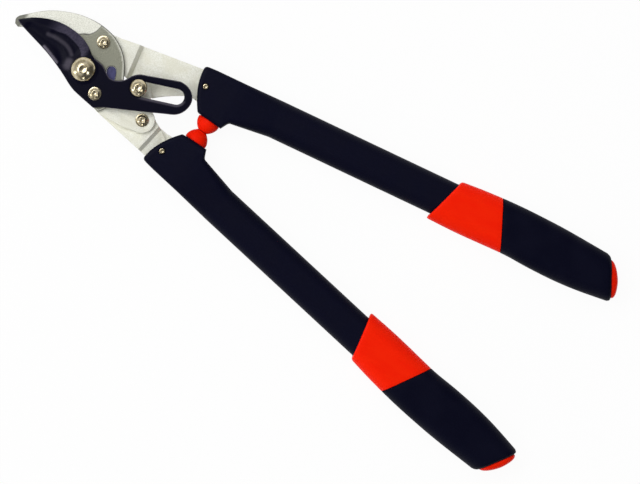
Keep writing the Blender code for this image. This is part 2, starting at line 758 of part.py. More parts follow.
def make_handle_body(side, name, joint):
    """Ferrule and tube in one moulding, with the tang's socket in front and the core's bore behind."""
    back = BODY_END + grip_shift(side)
    bore = shrunk(TUBE_SHAPE, BODY_WALL)
    half = PLATE / 2 + GAP
    end = (-TONGUE_END_HALF - GAP, TONGUE_END_HALF + GAP, half, 0.5)
    mouth = (-TANG_INNER - GAP, TANG_OUTER + GAP, half, 0.5)
    stations = ferrule_stations() + [
        (back, TUBE_SHAPE, 0.0), (back, bore, 0.0), (SOCKET_END, bore, 0.0),
        (SOCKET_END, end, 0.0), (TONGUE_TAPER, mouth, 0.0), (FERRULE_FRONT, mouth, 1.0)]
    mesh = bmesh.new()
    rings = [section_ring(mesh, side, along, shape, front_bend(share), FLAT_PIECES)
             for along, shape, share in stations]
    walls(mesh, rings, closed_rings=True)
    body = place(mesh, name, NAVY, joint, True)
    centre = handle_point(side, RIVET_AT, RIVET_OUT)
    shank, head, deep = RIVET_SHANK + GAP, RIVET_HEAD + GAP, RIVET_HEAD_HIGH + 2 * GAP
    tall = 2 * HANDLE_MID
    profile = [(0, -1), (head, -1), (head, deep), (shank, deep), (shank, tall - deep),
               (head, tall - deep), (head, tall + 1), (0, tall + 1)]
    cut(body, name + "_rivet_hole", turned_mesh(centre, profile, 20), joint)
    stem = bumper_mesh(side, [(0, -1), (BUMPER_STEM + GAP, -1),
                              (BUMPER_STEM + GAP, BUMPER_STEM_LONG + 2 * GAP),
                              (0, BUMPER_STEM_LONG + 2 * GAP)])
    cut(body, name + "_stem_hole", stem, joint)
    return body


def bumper_mesh(side, profile):
    """A turned shape whose axis runs from the tool's middle line into the ferrule;
    heights count from the ferrule's face, outwards from the middle line."""
    mesh = turned_mesh((0, 0), profile)
    turn = Matrix.Rotation(math.radians(-90), 4, "X")
    bmesh.ops.transform(mesh, matrix=turn, verts=mesh.verts[:])
    shift = Vector((BUMPER_X, BUMPER_FACE_Y, HANDLE_MID))
    for vert in mesh.verts:
        vert.co += shift
        vert.co.y *= side
    return mesh


def make_bumper(side, name, joint):
    """A rubber dome on a stem; the flat tips of the two meet on the tool's middle line."""
    rise = BUMPER_FACE_Y - 1.5 * GAP
    steps = 6
    profile = [(0, BUMPER_STEM_LONG), (BUMPER_STEM, BUMPER_STEM_LONG), (BUMPER_STEM, -GAP),
               (BUMPER_RADIUS, -GAP)]
    tip = math.asin(rise / BUMPER_DOME)
    for i in range(1, steps + 1):
        angle = tip * i / steps
        profile.append((BUMPER_RADIUS * math.cos(angle), -GAP - BUMPER_DOME * math.sin(angle)))
    profile.append((0, -GAP - rise))
    return place(bumper_mesh(side, profile), name, RED, joint, True)


def make_core(side, name, joint):
    """The metal tube inside the handle."""
    outer = shrunk(TUBE_SHAPE, BODY_WALL + GAP)
    inner = shrunk(outer, CORE_WALL)
    start, end = SOCKET_END + GAP, BODY_END + grip_shift(side) - GAP
    mesh = bmesh.new()
    rings = [section_ring(mesh, side, start, outer), section_ring(mesh, side, end, outer),
             section_ring(mesh, side, end, inner), section_ring(mesh, side, start, inner)]
    walls(mesh, rings, closed_rings=True)
    return place(mesh, name, ALUMINIUM, joint, True)


def swell(profile, along):
    """Reach of a swell's smooth curve at a distance along the handle."""
    share = (along - COLLAR_FRONT) / (GRIP_END - COLLAR_FRONT)
    points = curve(profile, 6)
    for before, after in zip(points, points[1:]):
        if share < after[0]:
            part = (share - before[0]) / (after[0] - before[0])
            return before[1] + (after[1] - before[1]) * part
    return points[-1][1]


def grip_shape(along):
    """The section of collar and grip."""
    return (-swell(SWELL_IN, along), swell(SWELL_OUT, along), HANDLE_MID, GRIP_CORNER)


def sleeve_mesh(side, outer, bores):
    """A sleeve on the tube, from (along, section, slant) stations outside and in its bore."""
    mesh = bmesh.new()
    shift = grip_shift(side)
    rings = [section_ring(mesh, side, along + shift, shape, slant(amount))
             for along, shape, amount in outer + bores]
    walls(mesh, rings, closed_rings=True)
    return mesh


def make_collar(side, name, joint):
    bore = shrunk(TUBE_SHAPE, -GAP)
    front, rear, edge = COLLAR_FRONT, COLLAR_REAR, COLLAR_EDGE
    outer = [(front, shrunk(grip_shape(front), 0.86 * edge), COLLAR_FRONT_SLANT),
             (front + 0.29 * edge, shrunk(grip_shape(front), 0.29 * edge), COLLAR_FRONT_SLANT)]
    steps = 4
    for i in range(steps + 1):
        share = i / steps
        along = front + edge + (rear - front - edge) * share
        amount = COLLAR_FRONT_SLANT + (COLLAR_REAR_SLANT - COLLAR_FRONT_SLANT) * share
        outer.append((along, grip_shape(along), amount))
    bores = [(rear, bore, COLLAR_REAR_SLANT), (front, bore, COLLAR_FRONT_SLANT)]
    return place(sleeve_mesh(side, outer, bores), name, RED, joint, True)


def make_grip(side, name, joint):
    """The grip, with a rounded rear edge and a narrower bore behind the tube's end."""
    bore = shrunk(TUBE_SHAPE, -GAP)
    narrow = shrunk(TUBE_SHAPE, CAP_WALL - GAP)
    front = COLLAR_REAR + GAP
    straight = GRIP_END - GRIP_EDGE
    steps = 7
    outer = []
    for i in range(steps + 1):
        share = i / steps
        along = front + (straight - front) * share
        amount = COLLAR_REAR_SLANT + (GRIP_END_SLANT - COLLAR_REAR_SLANT) * share
        outer.append((along, grip_shape(along), amount))
    for angle in (30, 60, 90):
        turn = math.radians(angle)
        along = straight + GRIP_EDGE * math.sin(turn)
        shape = shrunk(grip_shape(along), GRIP_EDGE * (1 - math.cos(turn)))
        outer.append((along, shape, GRIP_END_SLANT))
    step = BODY_END + GAP
    bores = [(GRIP_END, narrow, GRIP_END_SLANT), (step, narrow, 0.0), (step, bore, 0.0),
             (front, bore, COLLAR_REAR_SLANT)]
    return place(sleeve_mesh(side, outer, bores), name, NAVY_SOFT, joint, True)


def make_end_cap(side, name, joint):
    """The cap that closes the grip, with its plug in the grip's end."""
    plug = shrunk(TUBE_SHAPE, CAP_WALL)
    rim = shrunk(grip_shape(GRIP_END), GRIP_EDGE)
    start = BODY_END + 2 * GAP
    seat = GRIP_END + GAP
    stations = [(start, plug, 0.0), (seat, plug, GRIP_END_SLANT), (seat, rim, GRIP_END_SLANT)]
    steps = 4
    for i in range(1, steps + 1):
        angle = math.radians(90 * i / steps)
        amount = (1 - math.cos(angle)) * rim[2] * 0.8
        stations.append((seat + CAP_THICK * math.sin(angle), shrunk(rim, amount), GRIP_END_SLANT))
    mesh = bmesh.new()
    shift = grip_shift(side)
    rings = [section_ring(mesh, side, along + shift, shape, slant(amount))
             for along, shape, amount in stations]
    walls(mesh, rings)
    mesh.faces.new(rings[0])
    mesh.faces.new(rings[-1])
    return place(mesh, name, RED, joint, True)


def make_rivet(side, name, joint):
    """The rivet through ferrule and tang, with a dimple in its upper head."""
    low, tall = GAP, 2 * HANDLE_MID - GAP
    profile = [(0, low), (RIVET_HEAD, low), (RIVET_HEAD, low + RIVET_HEAD_HIGH),
               (RIVET_SHANK, low + RIVET_HEAD_HIGH), (RIVET_SHANK, tall - RIVET_HEAD_HIGH),
               (RIVET_HEAD, tall - RIVET_HEAD_HIGH), (0.8 * RIVET_HEAD, tall), (RIVET_DIMPLE, tall),
               (0.7 * RIVET_DIMPLE, tall - 0.8 * RIVET_DIMPLE), (0, tall - 0.8 * RIVET_DIMPLE)]
    mesh = turned_mesh(handle_point(side, RIVET_AT, RIVET_OUT), profile, 20)
    return place(mesh, name, NICKEL, joint, True)


def make_handle(side, prefix, joint):
    make_handle_body(side, prefix + "_handle", joint)
    make_core(side, prefix + "_core_tube", joint)
    make_bumper(side, prefix + "_bumper", joint)
    make_collar(side, prefix + "_collar", joint)
    make_grip(side, prefix + "_grip", joint)
    make_end_cap(side, prefix + "_end_cap", joint)
    make_rivet(side, prefix + "_rivet", joint)


def pivot(name, point, carrier=None):
    """An empty on a joint's axis, hung on the empty of the body that carries it."""
    empty = bpy.data.objects.new(name, None)
    empty.empty_display_size = 0.02
    bpy.context.scene.collection.objects.link(empty)
    base = carrier or (0, 0)
    if carrier:
        empty.parent = PIVOTS[carrier]
        empty.location = ((point[0] - base[0]) * MM, (point[1] - base[1]) * MM, 0)
    else:
        empty.location = ((TOOL_X + point[0]) * MM, (TOOL_Y + point[1]) * MM, 0)
    return empty


for old in list(bpy.data.objects):
    bpy.data.objects.remove(old)

GROUND = (0.0, -0.0, "lower handle")
PIVOTS = {}
PIVOTS[GROUND] = pivot("lower_handle_frame", GROUND[:2])
PIVOTS[SLIDE] = pivot("handle_pivot", SLIDE, GROUND)
PIVOTS[HOOK_JOINT] = pivot("hook_pivot", HOOK_JOINT, SLIDE)
PIVOTS[MAIN] = pivot("blade_pivot", MAIN, HOOK_JOINT)
PIVOTS[LINK_JOINT] = pivot("link_pivot", LINK_JOINT, GROUND)

make_blade()
make_hook()
make_pin_stop()
make_link()
make_upper_tang()
make_lower_tang()
make_main_bolt()
make_slide_bolt()
make_small_bolts()
make_handle(1, "upper", SLIDE)
make_handle(-1, "lower", GROUND)
print("slide bolt's stray in the slot: %.2f mm" % slide_stray())
print("pin stray in the link: %.2f mm" % pin_stray())
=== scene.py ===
# %% [markdown]
# # A lopper on a white table
#
# A lopper is a long-handled pruning tool. This one closes a dark coated blade past a steel hook, and
# a slotted arm with two steel tangs multiplies the pull of the hands. The frame that is loaded here
# holds every piece of the tool as a plain solid in its true place, on the body that carries it. What
# follows gives those pieces their fine shapes and their finishes, and sets the light and the camera.

# %% Load the frame
import json
import math

import bmesh
import bpy
import numpy as np
from mathutils import Matrix, Vector
from mathutils.geometry import delaunay_2d_cdt


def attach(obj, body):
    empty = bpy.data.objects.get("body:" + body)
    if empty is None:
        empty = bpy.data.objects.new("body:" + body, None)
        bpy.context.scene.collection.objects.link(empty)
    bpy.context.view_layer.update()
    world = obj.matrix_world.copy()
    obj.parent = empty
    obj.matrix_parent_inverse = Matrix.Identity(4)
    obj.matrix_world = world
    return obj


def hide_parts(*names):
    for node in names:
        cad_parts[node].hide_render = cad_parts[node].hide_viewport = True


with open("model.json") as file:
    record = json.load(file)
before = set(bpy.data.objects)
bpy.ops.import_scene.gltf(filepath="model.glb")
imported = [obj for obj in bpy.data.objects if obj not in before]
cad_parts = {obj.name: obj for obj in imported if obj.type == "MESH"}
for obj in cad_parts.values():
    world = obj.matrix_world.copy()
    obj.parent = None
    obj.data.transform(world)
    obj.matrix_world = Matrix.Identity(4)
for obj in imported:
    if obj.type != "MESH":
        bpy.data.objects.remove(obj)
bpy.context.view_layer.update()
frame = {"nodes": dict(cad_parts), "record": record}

# %% [markdown]
# The tool's plan is easiest to think of in millimetres from the slide bolt, the bolt on which the two
# tangs turn: x runs from the blade's tip to the handles' ends, y towards the upper handle. Heights are
# millimetres above the table. One helper turns such a point into metres in the frame.

# %% Plan millimetres to metres
MM = 0.001
TOOL = Vector((-160.3, 0.45, 0.0))


def at(x, y, z=0.0):
    """A point in plan millimetres, in metres in the frame."""
    return (TOOL + Vector((x, y, z))) * MM


SLIDE = (0.0, 0.0)
MAIN = (-47.2, -13.0)
HOOK_JOINT = (-45.8, 15.4)
LINK_JOINT = (17.5, -20.6)
PIN = (-27.7, -24.4)
PLATE = 3.5
BLADE_THICK = 4.0
GAP = 0.3
HANDLE_MID = 14.0


def level(number):
    """Underside of a plate in the stack; the lowest plate lies in the handles' middle height."""
    return HANDLE_MID - PLATE / 2 + number * (PLATE + GAP)


print("slide bolt at", tuple(round(v, 4) for v in at(0, 0)), "blade underside at", round(level(4), 2), "mm")

# %% [markdown]
# ## Camera
#
# The tool was seen from straight above and from far off, so its sides hardly show. A long lens at a
# distance of four metres gives that. The picture's upward direction is turned about a third of a
# right angle from the tool's own axis, so the handles run down to the right. The picture's middle is
# measured from the slide bolt, and the camera leans from upright by 1.4 degrees.

# %% Camera
SENSOR = 36.0
CAMERA_FAR = 4000.0
VIEW_WIDE = 539.2128
VIEW_TURN = 33.9
VIEW_LEAN = (0.4553, 1.321, -0.1935)
MIDDLE_RIGHT, MIDDLE_UP, MIDDLE_HIGH = 153.132, -128.812, 20.0
turned = math.radians(VIEW_TURN)
right = Vector((math.cos(turned), math.sin(turned), 0))
up = Vector((-math.sin(turned), math.cos(turned), 0))
back = Vector((0, 0, 1))
lean = Vector([math.radians(angle) for angle in VIEW_LEAN])
axes = Matrix.Rotation(lean.length, 3, lean.normalized()) @ Matrix((right, up, back))
middle = TOOL + right * MIDDLE_RIGHT + up * MIDDLE_UP + back * MIDDLE_HIGH
camera_data = bpy.data.cameras.new("camera")
camera_data.sensor_width = SENSOR
camera_data.lens = SENSOR * CAMERA_FAR / VIEW_WIDE
camera_data.clip_end = 100
camera = bpy.data.objects.new("camera", camera_data)
camera.matrix_world = Matrix.Translation((middle + axes[2] * CAMERA_FAR) * MM) @ axes.transposed().to_4x4()
bpy.context.scene.collection.objects.link(camera)
bpy.context.scene.camera = camera
print("lens %.0f mm, camera %.2f m above the table" % (camera_data.lens, camera.matrix_world.translation.z))

# %% [markdown]
# ## Writing shaders as sums
#
# A finish such as zinc or soft rubber is a recipe: so much of one colour where the grain is high, a
# little rougher where hands have rubbed. Written as Python sums such recipes stay readable, so one
# small class stands for a socket and lets it be added, multiplied and compared. Every other node
# comes from one method of the finish that is being made.

# %% Sockets that behave like numbers
class Wire:
    """The output of a shader node, which can be used in sums."""

    def __init__(self, finish, socket):
        self.finish = finish
        self.socket = socket

    def sum(self, operation, first, second):
        return self.finish.node("ShaderNodeMath", {"operation": operation}, {0: first, 1: second})

    def __add__(self, other):
        return self.sum("ADD", self, other)

    def __radd__(self, other):
        return self.sum("ADD", other, self)

    def __sub__(self, other):
        return self.sum("SUBTRACT", self, other)

    def __rsub__(self, other):
        return self.sum("SUBTRACT", other, self)

    def __mul__(self, other):
        return self.sum("MULTIPLY", self, other)

    def __rmul__(self, other):
        return self.sum("MULTIPLY", other, self)


class Finish:
    """A material under construction, with the tool's own millimetres as its coordinates."""

    def __init__(self, name, owner=None):
        self.material = owner or bpy.data.materials.new(name)
        self.material.use_nodes = True
        self.tree = self.material.node_tree
        self.tree.nodes.clear()
        if owner is None:
            place = self.node("ShaderNodeTexCoord", output="Object")
            self.place = self.node("ShaderNodeVectorMath", {"operation": "SCALE"},
                                   {0: place, "Scale": 1.0 / MM})

    def node(self, kind, settings=None, values=None, output=0):
        """Add a node: its settings first, then the values or wires of its sockets."""
        made = self.tree.nodes.new(kind)
        for name, value in (settings or {}).items():
            if name == "stops":
                ramp = made.color_ramp.elements
                while len(ramp) < len(value):
                    ramp.new(0.5)
                for element, (position, colour) in zip(ramp, value):
                    element.position = position
                    element.color = colour
            else:
                setattr(made, name, value)
        for key, value in (values or {}).items():
            socket = self.find(made.inputs, key)
            if isinstance(value, Wire):
                self.tree.links.new(value.socket, socket)
            else:
                socket.default_value = value
        return Wire(self, self.find(made.outputs, output))

    def find(self, sockets, key):
        """A socket by its number, or the one of that name that the node's settings show."""
        if isinstance(key, int):
            return sockets[key]
        return next(socket for socket in sockets if socket.enabled and socket.name == key)

    def noise(self, size, detail, rough, place=None):
        """Cloudy variation between 0 and 1, with blobs of about this size in millimetres."""
        return self.node("ShaderNodeTexNoise", {"noise_dimensions": "3D"},
                         {"Vector": place or self.place, "Scale": 1.0 / size, "Detail": detail,
                          "Roughness": rough})

    def cells(self, size):
        """Grains of about this size in millimetres."""
        return self.node("ShaderNodeTexVoronoi", {"feature": "F1"},
                         {"Vector": self.place, "Scale": 1.0 / size}, "Distance")

    def mark(self, name):
        """What a mesh says of each of its points under this name."""
        return self.node("ShaderNodeAttribute", {"attribute_name": name}, None, "Fac")

    def stretched(self, scale, turn):
        """The place, squeezed along each axis after a turn in plan, for brush and drag marks."""
        return self.node("ShaderNodeMapping", {"vector_type": "TEXTURE"},
                         {"Vector": self.place, "Rotation": (0, 0, math.radians(turn)),
                          "Scale": tuple(1.0 / s for s in scale)})

    def spread(self, value, low, high, start=0.0, end=1.0):
        """A value stretched so that low becomes start and high becomes end, and held there."""
        return self.node("ShaderNodeMapRange", {"clamp": True},
                         {"Value": value, "From Min": low, "From Max": high,
                          "To Min": start, "To Max": end})

    def blend(self, share, first, second):
        """Colours in each other: the first where share is 0, the second where it is 1."""
        return self.node("ShaderNodeMix", {"data_type": "RGBA"},
                         {"Factor": share, "A": first, "B": second}, "Result")

    def mottle(self, pattern, low, high, first, second, most=1.0):
        """From the first colour, where a pattern is low, towards the second; most is its greatest share."""
        return self.blend(self.spread(pattern, low, high, 0.0, most), first, second)

    def edges(self, radius):
        """Near 1 along edges and 0 on flat faces; some finishes make edges paler where rubbed, others paint
        shade on them.
        """
        soft = self.node("ShaderNodeBevel", {"samples": 6}, {"Radius": radius * MM})
        true = self.node("ShaderNodeNewGeometry", output="Normal")
        agree = self.node("ShaderNodeVectorMath", {"operation": "DOT_PRODUCT"}, {0: soft, 1: true},
                          "Value")
        slight, full = 0.004, 0.10
        return self.spread(1.0 - agree, slight, full)

    def relief(self, height, distance):
        """A bump of this many millimetres."""
        return self.node("ShaderNodeBump", None,
                         {"Height": height, "Distance": distance * MM, "Strength": 1.0})

    def shade(self, **values):
        """Close the recipe with the surface shader; spaces in socket names are underscores."""
        named = {name.replace("_", " "): value for name, value in values.items()}
        return self.close(self.node("ShaderNodeBsdfPrincipled", None, named))

    def close(self, surface, kind="ShaderNodeOutputMaterial"):
        """Put the last shader on the surface."""
        self.tree.links.new(surface.socket, self.tree.nodes.new(kind).inputs["Surface"])
        print("finish", self.material.name, "has", len(self.tree.nodes), "nodes")
        return self.material


def paint(red, green, blue):
    """A colour as a screen shows it, from 0 to 255, as the light that a shader wants."""
    def light(value):
        value = value / 255
        return value / 12.92 if value <= 0.04045 else ((value + 0.055) / 1.055) ** 2.4
    return (light(red), light(green), light(blue), 1.0)


print("mid grey on screen is", round(paint(128, 128, 128)[0], 3), "in light")
FINISHES = {}

# %% [markdown]
# ## Zinc-plated steel
#
# The tangs and the link are laser-cut plates with a satin zinc coat. Up close such a coat is a fine
# salt and pepper of pale grains, warm grey with a hint of yellow where the passivation sits, and it
# is rubbed brighter along its edges. A noise the size of the grains drives colour, roughness and a
# tiny bump together, so the sparkle follows the relief. Under the end of the hook's slot, where the
# pin passes, a dark patch of painted shade stands for the shade of the hook above the tang.

# %% Zinc
def zinc_finish():
    f = Finish("zinc_satin")
    grains = f.noise(0.9, 3, 0.65)
    clouds = f.noise(14, 2, 0.5)
    rolled = f.noise(1.0, 3, 0.6, f.stretched((0.08, 1.2, 1.0), 20))
    edge = f.edges(0.5)
    colour = f.mottle(grains, 0.34, 0.66, paint(229, 229, 213), paint(254, 254, 245))
    colour = f.mottle(clouds, 0.42, 0.62, colour, paint(231, 229, 209), 0.5)
    colour = f.blend(edge * 0.5, colour, paint(252, 252, 247))
    # Painted shade: a dark patch on the tang under the end of the hook's slot, where the hook shades it.
    slot_shade_centre = TOOL + Vector((-27.6, 1.5, 23))
    from_slot_shade = f.node("ShaderNodeVectorMath", {"operation": "DISTANCE"},
                         {0: f.place, 1: tuple(slot_shade_centre)}, "Value")
    slot_shade = f.spread(from_slot_shade + 2.0 * clouds, 4.6, 7.4, 0.92, 0.0)
    colour = f.blend(slot_shade, colour, paint(22, 22, 30))
    rough = 0.40 + 0.16 * grains - 0.10 * edge + 0.06 * rolled
    bump = f.relief(grains * 0.7 + rolled * 0.3, 0.05)
    return f.shade(Base_Color=colour, Metallic=0.2, Roughness=rough, Normal=bump)


FINISHES["zinc_plated_steel"] = zinc_finish()

# %% [markdown]
# ## The hook's steel
#
# The hook is the bright counter blade. Its working half has been ground on a belt, which leaves it
# paler, and the rest keeps the olive-grey skin of the rolled plate. The two meet in a curved step
# with a fine groove. Dark lines of painted shade lie in that groove, along the edges as a contact
# shadow, strongest towards the handles, on the rounded nose, round the upper end of the pin slot and
# as the blade's shadow at its waist, and a painted highlight runs just inside the edge towards the
# handles. The mesh of the hook carries two marks: one says how much each point was ground, with the
# painted highlight added in, and the other where the painted shade lies. The finish reads both, so
# colour and shape agree.

# %% Hook steel
def hook_finish():
    f = Finish("hook_steel_ground")
    ground = f.mark("ground")
    grime = f.mark("grime")
    grains = f.noise(0.9, 3, 0.65)
    belt = f.noise(0.8, 3, 0.6, f.stretched((1.0, 0.05, 1.0), 20))
    clouds = f.noise(9, 2, 0.5)
    edge = f.edges(0.5)
    skin = f.mottle(grains, 0.35, 0.65, paint(122, 122, 107), paint(148, 149, 132))
    skin = f.mottle(clouds, 0.4, 0.6, skin, paint(136, 137, 121), 0.6)
    bright = f.mottle(grains, 0.35, 0.65, paint(213, 213, 200), paint(245, 245, 235))
    # The ground mark also holds a painted highlight just inside the edge.
    colour = f.blend(ground, skin, bright)
    colour = f.blend(edge * 0.5, colour, paint(244, 244, 238))
    # Painted shade: dark lines in the groove, along the edges, on the nose, round the slot's end and in the
    # blade's shadow.
    colour = f.blend(grime * 0.9, colour, paint(46, 46, 42))
    rough = 0.38 + 0.14 * grains + 0.08 * ground - 0.08 * edge
    bump = f.relief(grains * 0.6 + belt * ground * 0.5, 0.045)
    return f.shade(Base_Color=colour, Metallic=0.2, Roughness=rough, Normal=bump)


FINISHES["hook_steel"] = hook_finish()

# %% [markdown]
# ## The blade's coating
#
# A low-friction coat covers the blade, nearly black with a violet cast. It is thinner on the ground
# bevel along the cutting edge, where the grey of the steel comes through. Painted highlights lie on
# the ridge, along the back, beside the boss, on the slot's lower rim and along the edges. The
# blade's mesh carries the bevel and the painted highlights in two marks.

# %% Blade coating
def blade_finish():
    f = Finish("blade_coat")
    bevel = f.mark("bevel")
    polish = f.mark("polish")
    grain = f.noise(0.55, 3, 0.6)
    drag = f.noise(1.1, 3, 0.6, f.stretched((0.9, 0.06, 1.0), -25))
    clouds = f.noise(11, 2, 0.5)
    edge = f.edges(0.45)
    coat = f.mottle(grain, 0.35, 0.65, paint(3, 3, 20), paint(8, 7, 28))
    coat = f.mottle(clouds, 0.4, 0.6, coat, paint(6, 6, 23), 0.5)
    ground = f.mottle(drag, 0.35, 0.65, paint(58, 55, 71), paint(76, 72, 90))
    colour = f.blend(bevel * (0.8 + 0.2 * drag), coat, ground)
    # Painted highlights: a paler violet grey where the highlight mark is high.
    colour = f.blend(polish * (0.8 + 0.3 * drag), colour, paint(110, 105, 118))
    colour = f.blend(edge * 0.25, colour, paint(74, 72, 86))
    rough = 0.34 + 0.12 * grain - 0.06 * polish + 0.05 * bevel
    bump = f.relief(grain * 0.6 + drag * bevel * 0.5, 0.03)
    return f.shade(Base_Color=colour, Metallic=0.0, Roughness=rough, Normal=bump,
                   Specular_IOR_Level=0.07)


FINISHES["coated_steel"] = blade_finish()

# %% [markdown]
# ## Nickel
#
# Bolts, rivets and nuts are nickel plated, a warm bright metal. Its look is mostly what it mirrors,
# so it stays smooth, with a faint warm mottle and paler edges.

# %% Nickel
def nickel_finish():
    f = Finish("nickel_plate")
    cloud = f.noise(2.2, 3, 0.55)
    fine = f.noise(0.35, 3, 0.6)
    edge = f.edges(0.35)
    plate = f.mottle(cloud, 0.38, 0.62, paint(190, 176, 141), paint(218, 207, 179))
    colour = f.blend(edge * 0.5, plate, paint(238, 229, 206))
    rough = 0.10 + 0.08 * cloud + 0.05 * fine
    bump = f.relief(fine * 0.08 + cloud * 0.92, 0.11)
    return f.shade(Base_Color=colour, Metallic=1.0, Roughness=rough, Normal=bump)


FINISHES["nickel_plated_steel"] = nickel_finish()

# %% [markdown]
# ## Handle plastic, grip rubber, red plastic and red rubber
#
# Ferrule and tube are one hard moulding with a fine spark-eroded grain. The grip over it is softer
# and a little shinier where hands have polished it. Both are a blue so dark that it reads as black,
# with painted shade darkening their rounded edges. The red rings, caps and bumpers are dyed through:
# clean and smooth on the plastic, matt on the rubber. Painted shade darkens the red plastic's
# rounded edges, and a line of painted shade runs round the tips where the two bumpers press each
# other.

# %% Dark and red plastics
def navy_plastic_finish():
    f = Finish("navy_moulding")
    grain = f.noise(0.45, 3, 0.65)
    clouds = f.noise(20, 2, 0.5)
    scuff = f.spread(f.noise(1.3, 3, 0.7, f.stretched((0.12, 1.6, 1.0), 9)), 0.60, 0.72)
    edge = f.edges(0.8)
    body = f.mottle(grain, 0.35, 0.65, paint(3, 4, 24), paint(7, 8, 31))
    body = f.mottle(clouds, 0.4, 0.6, body, paint(8, 8, 26), 0.4)
    colour = f.blend(scuff * 0.08, body, paint(42, 44, 58))
    # Painted shade: the rounded edges are coloured darker.
    colour = f.blend(edge * 0.6, colour, paint(0, 1, 16))
    rough = 0.44 + 0.14 * grain + 0.08 * scuff + 0.20 * edge
    return f.shade(Base_Color=colour, Roughness=rough, Normal=f.relief(grain, 0.06),
                   Specular_IOR_Level=0.07)


def navy_rubber_finish():
    f = Finish("navy_soft_grip")
    pores = f.cells(0.75)
    grain = f.noise(0.5, 3, 0.6)
    worn = f.spread(f.noise(24, 2, 0.5), 0.40, 0.64)
    edge = f.edges(2.5)
    body = f.mottle(grain, 0.35, 0.65, paint(1, 2, 21), paint(4, 5, 27))
    colour = f.blend(worn * 0.3, body, paint(15, 16, 34))
    # Painted shade: the rounded edges are coloured darker.
    colour = f.blend(edge * 0.7, colour, paint(0, 1, 15))
    rough = 0.50 + 0.14 * grain - 0.08 * worn + 0.15 * edge
    bump = f.relief(pores * 0.7 + grain * 0.3, 0.07)
    return f.shade(Base_Color=colour, Roughness=rough, Normal=bump, Specular_IOR_Level=0.06)


def red_plastic_finish():
    f = Finish("red_moulding")
    flow = f.noise(9, 3, 0.5, f.stretched((0.4, 1.2, 1.0), 9))
    grain = f.noise(0.4, 3, 0.6)
    edge = f.edges(0.6)
    body = f.mottle(flow, 0.38, 0.62, paint(253, 30, 0), paint(255, 35, 1))
    # Painted shade: the rounded edges are coloured a darker red.
    colour = f.blend(edge * 0.5, body, paint(196, 18, 3))
    rough = 0.36 + 0.12 * grain + 0.02 * flow
    return f.shade(Base_Color=colour, Roughness=rough, Normal=f.relief(grain, 0.03),
                   Specular_IOR_Level=0.05)


def red_rubber_finish():
    f = Finish("red_bumper_rubber")
    pores = f.cells(0.6)
    grain = f.noise(0.5, 3, 0.6)
    dust = f.noise(3.5, 3, 0.6)
    body = f.mottle(grain, 0.35, 0.65, paint(248, 25, 0), paint(255, 36, 3))
    colour = f.mottle(dust, 0.55, 0.75, body, paint(246, 96, 66), 0.1)
    # Painted shade: a dark line round the tips, where the two domes meet.
    across = f.node("ShaderNodeSeparateXYZ", None, {0: f.place}, "Y") - TOOL.y
    from_tip = f.node("ShaderNodeMath", {"operation": "ABSOLUTE"}, {0: across})
    line = f.spread(from_tip + 0.3 * grain, 0.45, 0.85, 0.6, 0.0)
    colour = f.blend(line, colour, paint(150, 8, 2))
    bump = f.relief(pores * 0.6 + grain * 0.4, 0.05)
    return f.shade(Base_Color=colour, Roughness=0.50 + 0.14 * grain, Normal=bump,
                   Specular_IOR_Level=0.05)


FINISHES["navy_plastic"] = navy_plastic_finish()
FINISHES["navy_rubber"] = navy_rubber_finish()
FINISHES["red_plastic"] = red_plastic_finish()
FINISHES["red_rubber"] = red_rubber_finish()

# %% [markdown]
# ## Aluminium and nylon
#
# The tube inside each handle is bare drawn aluminium with lines along its length. The stop in the
# hook's slot is a block of blue-grey nylon, slightly waxy.

# %% Aluminium and nylon
def aluminium_finish():
    f = Finish("drawn_aluminium")
    lines = f.noise(0.8, 4, 0.6, f.stretched((0.03, 1.2, 1.2), 0))
    grain = f.noise(0.5, 2, 0.5)
    colour = f.mottle(lines, 0.35, 0.65, paint(196, 198, 202), paint(222, 223, 226))
    rough = 0.30 + 0.16 * lines + 0.05 * grain
    return f.shade(Base_Color=colour, Metallic=1.0, Roughness=rough, Normal=f.relief(lines, 0.03))


def nylon_finish():
    f = Finish("blue_nylon_block")
    grain = f.noise(0.5, 3, 0.6)
    cloud = f.noise(3, 2, 0.5)
    edge = f.edges(0.4)
    body = f.mottle(cloud, 0.4, 0.6, paint(42, 42, 92), paint(58, 58, 112))
    colour = f.blend(edge * 0.4, body, paint(92, 92, 140))
    return f.shade(Base_Color=colour, Roughness=0.42 + 0.12 * grain, Normal=f.relief(grain, 0.04))


FINISHES["bare_aluminium"] = aluminium_finish()
FINISHES["blue_nylon"] = nylon_finish()

# %% [markdown]
# ## Pieces on their bodies
#
# Every piece has to know three things: which body of the tool carries it, which plain solid of the
# frame it stands for, and which finish it has. One function hands a finished mesh over with all
# three, so none is forgotten.

# %% Hand a piece over
carried_by = {}
for body, members in frame["record"]["behaviour"]["bodies"].items():
    for node in members:
        carried_by[node] = body


def hand_over(data, node, slot, smooth_to=38):
    """Make a piece from a mesh, stand it in for its node and give it its finish."""
    for polygon in data.polygons:
        polygon.use_smooth = True
    data.set_sharp_from_angle(angle=math.radians(smooth_to))
    piece = bpy.data.objects.new(node + "_fine", data)
    bpy.context.scene.collection.objects.link(piece)
    data.materials.clear()
    data.materials.append(FINISHES[slot])
    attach(piece, carried_by[node])
    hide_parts(node)
    print("%-22s %6d faces on %s" % (piece.name, len(data.polygons), carried_by[node]))


# %% [markdown]
# ## Stamped and turned small parts
#
# Tangs, link, nuts, washer, sleeve, rivets and tubes already have the right shape in the frame. A
# solid that comes from a CAD file has every triangle loose, though, and its edges are knife sharp.
# Real stamped steel has a slight roll along its edges, which is what catches the light. So each of
# these meshes is copied, its loose corners are joined, its flat faces are made whole again, and then
# its edges are rounded by a fraction of a millimetre. Very short edges leave no room for that: the
# rounding is then held back, and on the upper tang it has come to nothing and left needless faces.

